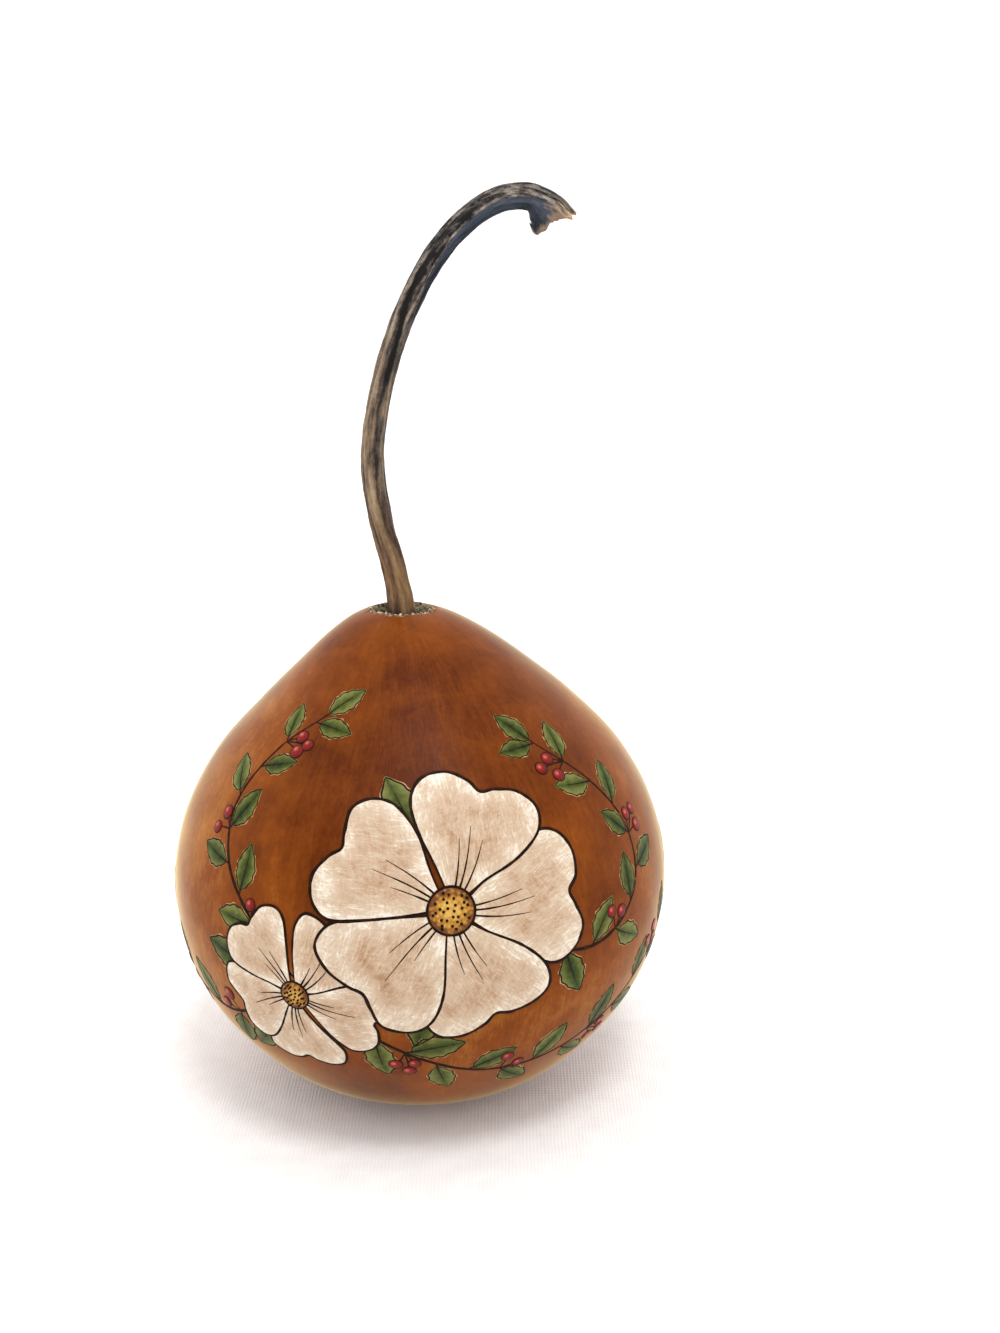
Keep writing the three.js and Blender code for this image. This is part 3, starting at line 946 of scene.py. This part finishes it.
class GOURD_OT_crumbs(bpy.types.Operator):
    """Scatters cork crumbs on the rim of the scar"""

    bl_idname = "gourd.build_crumbs"
    bl_label = "Scar crumbs"

    # Heaps as [crumbs, middle and spread of their angle, nearest and furthest mm from the scar's middle]
    HEAPS = [[34, -128, 24, 9.0, 10.7], [40, -18, 30, 7.6, 10.6], [12, 90, 90, 7.2, 10.4]]
    DROP = 10 * MM  # height above the shell from which the crumbs fall
    SIZES = {"Smallest": 0.3 * MM, "Largest": 0.85 * MM}
    PLACE_SEED = 11
    SHAPE_SEED = 5

    def execute(self, context):
        draw = random.Random(self.PLACE_SEED)
        middle = context.scene.gourd_shell.top_lean
        points = []
        for count, middle_turn, spread, near, far in self.HEAPS:
            for _ in range(count):
                turn = math.radians(draw.gauss(middle_turn, spread))
                out = draw.uniform(near, far) * MM
                points.append((middle + out * math.cos(turn), out * math.sin(turn), BODY_TOP + self.DROP))
        crumbs = mesh_object("scar_crumbs", points)
        grow(crumbs, crumb_tree(), Seed=self.SHAPE_SEED, Material=crumb_material(), **self.SIZES)
        keep(crumbs, "shell")
        return {"FINISHED"}


class GOURD_OT_stem(bpy.types.Operator):
    """Grows the dry ridged stem along its route and tears its tip"""

    bl_idname = "gourd.build_stem"
    bl_label = "Stem"

    TEAR_START = 0.925  # share of the length where the torn tip flares
    # The torn edge, as [degrees round from the underside, growth of the radius, mm past the centreline's end]
    TEAR_EDGE = [
        [0, 1.31, -4.8], [12, 1.4, -3.5], [24, 1.54, -1.9], [48, 1.05, -1.5], [60, 0.69, -1.2],
        [72, 0.55, -0.4], [84, 0.4, 0.9], [98, 0.25, 2.5], [108, 0.1, 2.3], [122, -0.3, 0.9],
        [134, -0.35, 2], [148, -0.25, 2.6], [166, -0.2, 1.6], [180, -0.22, 1],
    ]
    TEAR_HOLLOW = 3.2 * MM
    FACE_RINGS = (0.93, 0.84, 0.72, 0.58, 0.44, 0.3, 0.15, 0)  # of the broken face, as shares of its radius
    GROOVE_TURN = math.radians(-75)  # one groove runs up the front, a little to the right
    FOOT_TURN = math.radians(22)  # turn of the grooves near the foot
    # How dark the grooves are, partly with painted shade, and the facing of the pale rib, as [share of the
    # length, value]
    GROOVE_DARK = [
        [0.04, 0.12], [0.2, 0.16], [0.3, 0.24], [0.4, 0.36],
        [0.46, 0.6], [0.51, 1.05], [0.66, 1], [0.8, 0.15],
    ]
    RIB = [
        [0.38, 0.95], [0.52, 0.7], [0.6, 0.5], [0.66, 0.62],
        [0.72, 0.45], [0.78, 0.22], [0.86, 0.02], [1, 0],
    ]
    # Stretches of the stem, as shares of the length where each starts, is full, fades and ends
    RIB_STRETCH = (0.36, 0.44, 0.86, 0.93)
    LEFT_RIB_STRETCH = (0.42, 0.5, 0.7, 0.78)
    PALE_STRETCH = (0.36, 0.44, 0.58, 0.64)
    DARK_STRETCH = (0.58, 0.68, 0.8, 0.9)
    # Fibres run along the stem: their pattern is stretched lengthwise and closes round the section
    FIBRE_RADIUS = 4 * MM
    FIBRE_STRETCH = 0.14
    # Width and height of the threads and lumps that roughen the bark
    THREAD = 1.3 * MM
    THREAD_RISE = 0.22 * MM
    LUMP = 3.1 * MM
    LUMP_RISE = 0.35 * MM
    # How far the threads roughen the torn edge and the broken face
    EDGE_SPLINTER = 0.7 * MM
    FACE_SPLINTER = 0.9 * MM

    def execute(self, context):
        settings = context.scene.gourd_stem
        lean = context.scene.gourd_shell.top_lean / MM
        foot = [[lean, 0, height] for height in STEM_FOOT]
        line, tangent, reach = even_curve(np.array(foot + STEM_ROUTE) * MM, settings.rows + 1)
        side = unit(np.array([0, 1, 0]) - tangent * tangent[:, 1:2])
        inner = np.cross(side, tangent)

        # One ring per row, then the rings of the broken face at the last row
        row = np.concatenate([np.arange(settings.rows + 1), np.full(len(self.FACE_RINGS), settings.rows)])
        filled = np.concatenate([np.ones(settings.rows + 1), self.FACE_RINGS])[:, None]
        turns = np.linspace(-math.pi, math.pi, settings.sides, endpoint=False)
        along, angle = np.meshgrid(row / settings.rows, turns, indexing="ij")
        facing = np.cos(angle)
        torn = np.clip((along - self.TEAR_START) / (1 - self.TEAR_START), 0, 1)
        circle = self.FIBRE_RADIUS * np.stack([facing, np.sin(angle)], -1)
        fibre = np.concatenate([circle, (along * reach * self.FIBRE_STRETCH)[..., None]], -1)
        threads = [noise.fractal(Vector(p / self.THREAD), 0.7, 2.0, 4) for p in listed(fibre)]
        lumps = [noise.noise(Vector(p / self.LUMP)) for p in listed(fibre)]
        threads, lumps = (np.reshape(values, along.shape) for values in (threads, lumps))

        groove = self.grooves(along, angle, settings)
        grown = smoothstep(0, 0.05, along)
        turn, growth, past = np.array(self.TEAR_EDGE).T
        growth = np.interp(np.degrees(np.abs(angle)), turn, growth)
        past = np.interp(np.degrees(np.abs(angle)), turn, past) * MM
        radius = eased(STEM_RADII, along) * MM * (1 - settings.ridge_depth * groove * grown)
        radius = radius * (1 + growth * torn**0.7 * smoothstep(0, 0.3, torn))
        radius = radius + grown * (self.THREAD_RISE * threads + self.LUMP_RISE * lumps)
        edge = (past + self.EDGE_SPLINTER * threads) * torn**1.3
        shift = edge * filled - self.TEAR_HOLLOW * torn**2 * (1 - filled)
        shift = shift + self.FACE_SPLINTER * threads * (filled < 1)
        grid = line[row][:, None] + tangent[row][:, None] * shift[..., None]
        grid = grid + inner[row][:, None] * (radius * filled * facing)[..., None]
        grid = grid + side[row][:, None] * (radius * filled * np.sin(angle))[..., None]

        marks = self.weathering_and_shade(along, facing, torn, groove * grown, threads, lumps)
        marks["torn"] = np.where(filled < 1, 1, marks["torn"])
        marks["fibre"] = fibre
        index = np.arange(along.size).reshape(along.shape)
        faces = quads(np.hstack([index, index[:, :1]])).tolist() + [index[0, ::-1].tolist()]
        marks = {name: listed(values) for name, values in marks.items()}
        stem = mesh_object("dry_stem", listed(grid), faces, marks=marks)
        stem.data.materials.append(stem_material(settings))
        stem.data.shade_smooth()
        keep(stem, "stem", "stem")
        return {"FINISHED"}

    def grooves(self, along, angle, settings):
        """Depth of the grooves from 0 to 1. They wander, and turn above the middle and near the foot."""
        wander = np.array([[noise.noise(Vector((3.1, 0.6, 8 * a)))] for a in along[:, 0]])
        turn = self.GROOVE_TURN + settings.twist * smoothstep(0.48, 0.76, along) + 0.2 * wander
        turn = turn + self.FOOT_TURN * (1 - smoothstep(0.1, 0.26, along))
        groove = 1 - np.abs(np.sin(settings.ridges * (angle - turn) / 2))
        return groove ** (0.7 + 0.5 * smoothstep(0.52, 0.66, along))

    def weathering_and_shade(self, along, facing, torn, groove, threads, lumps):
        """Marks that the stem's material reads. Facing runs from 1 inside the bend to -1 outside it."""

        def within(start, full, fade, end):
            return smoothstep(start, full, along) * (1 - smoothstep(fade, end, along))

        # The inner side of the crook is dark as far as a pale rib, and a second rib runs on the left
        rib = eased(self.RIB, along) + 0.1 * lumps
        ribbed = np.exp(-(((facing - rib + 0.06) / 0.1) ** 2)) * within(*self.RIB_STRETCH)
        left = np.exp(-(((facing + 0.62) / 0.22) ** 2)) * within(*self.LEFT_RIB_STRETCH)
        # Darker grooves: partly their own colour, partly painted shade
        dark = groove * eased(self.GROOVE_DARK, along)
        dark = dark * (1 - 0.7 * smoothstep(-0.45, -0.7, facing))
        dark = dark * (1 - 0.8 * within(*self.PALE_STRETCH) * smoothstep(0.55, 0.8, facing))
        dark = dark + 0.3 * within(*self.DARK_STRETCH)
        # Bark is stripped off the torn tip, further back on its sides than above and below
        bare_from = 0.58 + 0.23 * smoothstep(0.3, 0.75, facing) + 0.2 * smoothstep(-0.3, -0.75, facing)
        stripped = smoothstep(bare_from, bare_from + 0.14, torn + 0.35 * threads)
        stripped = stripped * smoothstep(-0.9, -0.55, facing)
        return {
            "groove": dark - 0.4 * ribbed - 0.35 * left,
            "cool": smoothstep(-0.1, 0.5, facing - 0.5 * smoothstep(0.5, 0.7, along)),
            "inner": smoothstep(rib - 0.04, rib + 0.14, facing) * smoothstep(0.6, 0.7, along),
            "torn": np.maximum(stripped, smoothstep(0.93, 1.0, torn)),
            "foot": 1 - smoothstep(0.08, 0.34, along),
            # Painted shade on the base, where the stem sinks into the scar
            "base": 1 - smoothstep(0.03, 0.052, along + 0.012 * threads),
            "worn": smoothstep(0.4, 0.8, along),
        }


class Flower:
    """A flower drawn flat round its centre: its petals' grids, outlines and veins."""

    HEART_SHARE = 0.17  # radius of the flower's heart, as a share of its reach
    HEART_RISE = 0.5 * MM
    # One edge of a petal from its foot to its tip, as [share of the half width, share of the length]
    EDGE = [[0.1, 0.1], [0.36, 0.27], [0.74, 0.5], [0.99, 0.73], [0.93, 0.92], [0.58, 1.02], [0.22, 0.99]]
    TIP = [0, 0.93]
    MIDDLE = [0, 0.56]
    FOOT = [0, 0.06]
    HALF_WIDTH = 0.5  # of a petal, as a share of the flower's reach
    # Width of the outline along a petal's edge, as shares of the edge and of the full width
    PRESS = [0, 0.15, 0.5, 0.85, 1], [0.4, 0.85, 1, 0.85, 0.4]
    # Veins as [sideways lean, share of the length where it stops], and their half width at each end
    VEINS = [[-0.3, 0.5], [-0.04, 0.66], [0.27, 0.54]]
    VEIN_FOOT = 0.34 * MM
    VEIN_TIP = 0.1 * MM

    def __init__(self, centre, reach, settings, base, seed):
        self.centre, self.reach = centre, reach
        self.heart_radius = reach * self.HEART_SHARE
        self.outline = settings.outline * (0.45 + 0.55 * reach / settings.flower_radius)
        self.sheets, self.lines, self.veins, self.turns = [], [], [], []
        draw = random.Random(seed)
        for i in range(settings.petals):
            turn = math.tau * (i + draw.uniform(-0.07, 0.07)) / settings.petals + 0.3 * seed
            self.turns.append(turn)
            self.petal(turn, base + PETAL_STEP * i, draw)
        self.top = base + PETAL_STEP * settings.petals

    def place(self, turn, flat):
        """Carries a petal's own flat points, y along the petal, onto the ball."""
        x, y = flat[..., 0], flat[..., 1]
        turned = [x * math.cos(turn) + y * math.sin(turn), y * math.cos(turn) - x * math.sin(turn)]
        return wrap(self.centre, np.stack(turned, -1))

    def petal(self, turn, layer, draw):
        """Adds one petal that points along turn."""
        size = self.reach * np.array([self.HALF_WIDTH * draw.uniform(0.95, 1.06), draw.uniform(0.93, 1.03)])

        def edge(sign):
            return [[sign * x * draw.uniform(0.95, 1.05), y * draw.uniform(0.98, 1.02)] for x, y in self.EDGE]

        knots = np.array(edge(1) + [self.TIP] + edge(-1)[::-1])
        rim = smooth_line(knots, 7) * size
        middle = np.array(self.MIDDLE) * size
        share = np.linspace(0, 1, 17)[:, None, None]
        flat = middle + share * (np.vstack([rim, np.array([self.FOOT]) * size]) - middle)
        inside = np.broadcast_to(1 - smoothstep(0.45, 0.97, share[..., 0]), flat.shape[:2])
        stroke = np.concatenate([flat, np.full_like(flat[..., :1], 0.03 * turn)], -1)
        self.sheets.append((self.place(turn, flat), layer, {"stroke": stroke, "inside": inside}, True))

        press = np.interp(np.linspace(0, 1, len(rim)), *self.PRESS)
        above = layer + PETAL_STEP / 2
        self.lines.append((self.place(turn, rim), self.outline / 2 * press, above, False))
        for across, stop in self.VEINS:
            run = np.linspace(0.14, stop * draw.uniform(0.9, 1.1), 10)
            vein = np.stack([across * run**0.8 + 0.05 * np.sin(5 * run), run], -1) * size
            taper = np.linspace(self.VEIN_FOOT, self.VEIN_TIP, len(run))
            self.veins.append((self.place(turn, vein), taper, above, False))

    def heart_sheet(self):
        """The domed heart as a grid of rings."""
        rings = np.linspace(0, 1, 12)
        flat = disc(rings, 48)
        fullness = np.broadcast_to(1 - rings[:, None] ** 2, flat.shape[:2])
        lift = self.top + self.HEART_RISE * np.sqrt(fullness)
        return wrap(self.centre, flat * self.heart_radius), lift, {"inside": fullness}, True

    def heart_ring(self):
        """The burnt ring round the heart."""
        ring = wrap(self.centre, disc([self.heart_radius], 40)[0])
        return ring, self.outline * 0.4, self.top + 0.1 * MM, True

    def fan(self, gaps, size, draw):
        """Leaves that look out from behind the petals, in some of the gaps between them."""
        leaves = []
        for gap in gaps:
            turn = self.turns[gap] + math.pi / len(self.turns) + draw.uniform(-0.1, 0.1)
            here, ahead = self.place(turn, np.array([[0, 0.66], [0, 0.7]]) * self.reach)
            bend = draw.uniform(-1.5, 1.5) * MM
            leaves.append((here, unit(here - HEART), unit(ahead - here), size, bend, draw.random()))
        return leaves


def all_flowers(context):
    """The flowers laid out by their own seeds, each above the one before."""
    paint, shell = context.scene.gourd_paint, context.scene.gourd_shell
    flowers, base = [], PETAL_LIFT
    for turn, height, share, seed, _ in FLOWERS:
        flower = Flower(on_shell(turn, height * MM, shell), paint.flower_radius * share, paint, base, seed)
        flowers.append(flower)
        base = flower.top
    return flowers


def line_section():
    """Flat section of a burnt line: a thin top with eased edges and a buried underside."""
    across = [-1, -0.8, 0, 0.8, 1, 1, -1]
    rise = np.array([-0.015, 0, 0, 0, -0.015, -0.3, -0.3]) * MM
    edges = [(i, (i + 1) % len(across)) for i in range(len(across))]
    return mesh_object("line_section", [(0, y, 0) for y in across], edges=edges, marks={"lift": rise})


def burn(name, routes, settings):
    """Burns routes into the shell as one piece."""
    section = line_section()
    lines = strokes(name, routes)
    look = {"Step": 0.7 * MM, "Unevenness": 1.1, "Material": burnt_material(settings)}
    grow(lines, line_tree(), Section=section, **look)
    bpy.data.objects.remove(section)
    keep(lines, "burnt_line")


def dome(name, radius, rise, lift, sides):
    """A low round motif with a closed underside."""
    rings = np.sin(np.linspace(0, math.pi / 2, 7))
    flat = disc(rings, sides)
    height = lift + rise * np.sqrt(np.maximum(0, 1 - rings**2))[:, None]
    return film(name, [(flat * radius, height, {"drawn": flat}, True)])


def sprinkle(name, anchors, motif, material, slot):
    """Sets a motif on anchors: each is a point, its outward and heading vectors, size, bend and tone."""
    points, *columns = zip(*anchors)
    marks = dict(zip(("outward", "heading", "size", "bend", "tone"), columns))
    piece = mesh_object(name, points, marks=marks)
    grow(piece, sprinkle_tree(), Motif=motif, Material=material)
    bpy.data.objects.remove(motif)
    keep(piece, slot)


class GOURD_OT_flowers(bpy.types.Operator):
    """Paints the flowers' petals and hearts and burns their outlines"""

    bl_idname = "gourd.build_flowers"
    bl_label = "Flowers"

    DOTS = 30  # stippled dots on each heart
    DOT_RADIUS = 0.45 * MM
    DOT_LIFT = 0.36 * MM  # above the topmost petal
    DOT_SEED = 8
    GOLDEN_TURN = math.radians(137.5)  # from one dot to the next

    def execute(self, context):
        settings = context.scene.gourd_paint
        flowers = all_flowers(context)
        petals = film("flower_petals", [sheet for flower in flowers for sheet in flower.sheets])
        grow(petals, film_tree(), Material=cream_material(settings))
        keep(petals, "cream_paint")
        hearts = film("flower_hearts", [flower.heart_sheet() for flower in flowers])
        grow(hearts, film_tree(), Material=ochre_material(settings))
        keep(hearts, "cream_paint")

        dots = []
        draw = random.Random(self.DOT_SEED)
        for flower in flowers:
            size = flower.reach / settings.flower_radius
            for i in range(self.DOTS):
                far = 0.86 * math.sqrt((i + 0.5) / self.DOTS) * flower.heart_radius
                turn = i * self.GOLDEN_TURN + draw.uniform(-0.2, 0.2)
                point = wrap(flower.centre, np.array([far * math.cos(turn), far * math.sin(turn)]))
                dots.append((point, unit(point - HEART), (0, 0, 1), size, 0, 0))
        outlines = [line for flower in flowers for line in flower.lines]
        burn("petal_outlines", outlines + [flower.heart_ring() for flower in flowers], settings)
        burn("petal_veins", [vein for flower in flowers for vein in flower.veins], settings)
        dot = dome("dot_motif", self.DOT_RADIUS, self.DOT_RADIUS, flowers[-1].top + self.DOT_LIFT, 10)
        sprinkle("heart_dots", dots, dot, burnt_material(settings), "burnt_line")
        return {"FINISHED"}


class Sprig:
    """One sprig laid out on the shell: its line, its leaves and its berries."""

    LEAF_LEAN = (42, 58)  # degrees between a leaf and the line
    LEAF_BEND = (0.4, 1.8)  # mm by which a leaf bends sideways
    TAPER = 0.28  # share by which the leaves get smaller along the line
    # Berries of a cluster as [degrees ahead of square to the line, mm from the start of their stalks]
    CLUSTER = [[8, 6.4], [64, 6.2], [36, 9.4]]
    STALK_HALF_WIDTH = 0.28 * MM  # of a berry's stalk

    def __init__(self, knots, flowers, settings, shell, seed):
        self.flowers = flowers
        self.leaves, self.berries, self.stalks = [], [], []
        draw = random.Random(seed)
        turns, heights = smooth_line(knots, 60).T
        heights = heights * MM
        places = on_shell(turns, heights, shell)
        self.line = places[::20]
        run = run_along(places)
        for i in range(int(run[-1] / settings.leaf_spacing)):
            far = (i + 0.9) * settings.leaf_spacing
            near = min(int(np.searchsorted(run, min(far, run[-1]))), len(places) - 2)
            up, out = up_and_out(turns[near], heights[near], shell)
            ahead = unit(places[near + 1] - places[near])
            side = 1 if i % 2 else -1
            beside = np.cross(out, ahead) * side
            size = (1 - self.TAPER * far / run[-1]) * draw.uniform(0.92, 1.08)
            lean = math.radians(draw.uniform(*self.LEAF_LEAN))
            heading = ahead * math.cos(lean) + beside * math.sin(lean)
            start = places[near] + heading * STALK
            bend, tone = side * draw.uniform(*self.LEAF_BEND) * MM, draw.random()
            if self.free(start + heading * settings.leaf_length / 2, 1.0):
                self.leaves.append((start, out, heading, size, bend, tone))
            if i % 3 == 1:
                self.cluster(places[near], ahead, -beside, out, up, draw)
        _, out = up_and_out(turns[-1], heights[-1], shell)
        self.leaves.append((places[-1], out, unit(places[-1] - places[-3]), 0.8, 0.6 * MM, draw.random()))

    def free(self, spot, share):
        """Whether a spot lies outside a share of every flower's reach."""
        return all(np.linalg.norm(spot - f.centre) > share * f.reach for f in self.flowers)

    def cluster(self, place, ahead, beside, out, up, draw):
        """Adds two or three berries on short stalks beside the line."""
        for lean, far in self.CLUSTER[: draw.choice((2, 3, 3))]:
            lean = math.radians(lean + draw.uniform(-6, 6))
            far = far * MM * draw.uniform(0.95, 1.05)
            spot = place + (beside * math.cos(lean) + ahead * math.sin(lean)) * far
            size, tone = draw.uniform(0.88, 1.08), draw.random() * 0.6
            if not self.free(spot, 1.08):
                continue
            self.berries.append((spot, out, up, size, 0, tone))
            stalk = np.array([place, (place + spot) / 2 + ahead * 0.3 * MM, spot])
            self.stalks.append((stalk, self.STALK_HALF_WIDTH, VINE_LIFT, False))


def all_sprigs(context):
    """The sprigs laid out by their own seeds."""
    paint, shell = context.scene.gourd_paint, context.scene.gourd_shell
    flowers = all_flowers(context)
    return [Sprig(knots, flowers, paint, shell, seed) for seed, knots in enumerate(SPRIGS, SPRIG_SEED)]


class GOURD_OT_sprigs(bpy.types.Operator):
    """Burns the sprigs' lines and their berries' stalks"""

    bl_idname = "gourd.build_sprigs"
    bl_label = "Sprig lines"

    # Half width along a sprig, as shares of its length and mm
    PRESS = [0, 0.08, 0.6, 1], [0.35, 0.6, 0.5, 0.22]

    def execute(self, context):
        routes = []
        for sprig in all_sprigs(context):
            press = np.interp(np.linspace(0, 1, len(sprig.line)), *self.PRESS) * MM
            routes += [(sprig.line, press, VINE_LIFT, False), *sprig.stalks]
        burn("sprig_lines", routes, context.scene.gourd_paint)
        return {"FINISHED"}


def leaf_half_width(share, settings):
    """Half width of a leaf along its length, with softly waved edges."""
    body = np.sin(math.pi * share**0.85) ** 0.85
    return settings.leaf_width / 2 * body * (1 + LEAF_WAVE * np.sin(27 * share))


def along_leaf(count):
    """Shares of a leaf's length, closer together near its ends."""
    return 0.5 - 0.5 * np.cos(np.linspace(0, math.pi, count))


def leaf_film(settings):
    """Painted face of one leaf, with a margin outside its outline."""
    share, across = np.meshgrid(along_leaf(26), np.linspace(LEAF_MARGIN, -LEAF_MARGIN, 15), indexing="ij")
    x = leaf_half_width(share, settings) * across
    y = settings.leaf_length * (share * 1.05 - 0.02)
    drawn = np.stack([across, share, 0 * x], -1)
    return film("leaf_motif", [(np.stack([x, y, 0 * x], -1), LEAF_LIFT, {"drawn": drawn}, False)])


def leaf_lines(settings):
    """Burnt outline and middle rib of one leaf, drawn flat with a stalk behind it."""
    share = along_leaf(30)
    edge = leaf_half_width(share, settings)
    pressed = LEAF_OUTLINE * np.interp(share, [0, 0.1, 0.9, 1], [0.6, 1, 1, 0.7])
    rib = np.linspace(-STALK / settings.leaf_length, LEAF_RIB_END, 24)
    tapered = LEAF_RIB * np.interp(rib, [0, LEAF_RIB_END], [1, 0.35])
    scale = np.array([settings.leaf_width / 2, settings.leaf_length, 1])
    sheets = []
    for x, y, half_width in ((edge, share, pressed), (-edge, share, pressed), (0 * rib, rib, tapered)):
        route = np.stack([x, settings.leaf_length * y], -1)
        ahead = unit(np.gradient(route, axis=0))
        beside = np.stack([ahead[:, 1], -ahead[:, 0]], -1) * half_width[:, None]
        bands = np.stack([route + beside, route, route - beside], 1)
        points = np.concatenate([bands, 0 * bands[..., :1]], -1)
        sheets.append((points, LEAF_LINE_LIFT, {"drawn": points / scale}, False))
    return film("leaf_line_motif", sheets)


class GOURD_OT_leaves(bpy.types.Operator):
    """Paints the leaves of the sprigs and burns their outlines"""

    bl_idname = "gourd.build_leaves"
    bl_label = "Leaves"

    FAN_SIZE = 1.15  # of the leaves behind the flowers, as a share of a full leaf
    FAN_SEED = 17

    def execute(self, context):
        settings = context.scene.gourd_paint
        anchors = [leaf for sprig in all_sprigs(context) for leaf in sprig.leaves]
        draw = random.Random(self.FAN_SEED)
        for flower, (*_, gaps) in zip(all_flowers(context), FLOWERS):
            anchors += flower.fan(gaps, self.FAN_SIZE, draw)
        sprinkle("painted_leaves", anchors, leaf_film(settings), leaf_material(settings), "leaf_paint")
        sprinkle("leaf_lines", anchors, leaf_lines(settings), burnt_material(settings), "burnt_line")
        return {"FINISHED"}


class GOURD_OT_berries(bpy.types.Operator):
    """Dabs the berries and burns a ring round each"""

    bl_idname = "gourd.build_berries"
    bl_label = "Berries"

    RISE = 0.24 * MM  # height of a dab of paint
    RINGS = (0.92, 1.03, 1.14)  # of the burnt band, as shares of the berry's radius

    def execute(self, context):
        settings = context.scene.gourd_paint
        anchors = [berry for sprig in all_sprigs(context) for berry in sprig.berries]
        ball = dome("berry_motif", settings.berry_radius, self.RISE, BERRY_LIFT, 24)
        sprinkle("painted_berries", anchors, ball, berry_material(settings), "berry_paint")
        flat = disc(self.RINGS, 32)
        hoop = film("berry_ring_motif", [(flat * settings.berry_radius, BERRY_LIFT, {"drawn": flat}, True)])
        sprinkle("berry_rings", anchors, hoop, burnt_material(settings), "burnt_line")
        return {"FINISHED"}


class GOURD_PT_panel(bpy.types.Panel):
    """Lists the steps that build the gourd"""

    bl_idname = "GOURD_PT_panel"
    bl_label = "Painted Gourd"
    bl_space_type = "VIEW_3D"
    bl_region_type = "UI"
    bl_category = "Painted Gourd"

    def draw(self, context):
        for step in OPERATORS:
            self.layout.operator(step.bl_idname)


OPERATORS = (
    GOURD_OT_stage,
    GOURD_OT_shell,
    GOURD_OT_crumbs,
    GOURD_OT_stem,
    GOURD_OT_sprigs,
    GOURD_OT_leaves,
    GOURD_OT_berries,
    GOURD_OT_flowers,
)
SETTINGS = {
    "gourd_shell": ShellSettings,
    "gourd_stem": StemSettings,
    "gourd_paint": PaintSettings,
    "gourd_stage": StageSettings,
}
CLASSES = (*SETTINGS.values(), *OPERATORS, GOURD_PT_panel)


def register():
    for cls in CLASSES:
        bpy.utils.register_class(cls)
    for name, cls in SETTINGS.items():
        setattr(bpy.types.Scene, name, PointerProperty(type=cls))


def unregister():
    for name in SETTINGS:
        delattr(bpy.types.Scene, name)
    for cls in reversed(CLASSES):
        bpy.utils.unregister_class(cls)


def main():
    register()
    for step in OPERATORS:
        group, name = step.bl_idname.split(".")
        getattr(getattr(bpy.ops, group), name)()


if __name__ == "__main__":
    main()
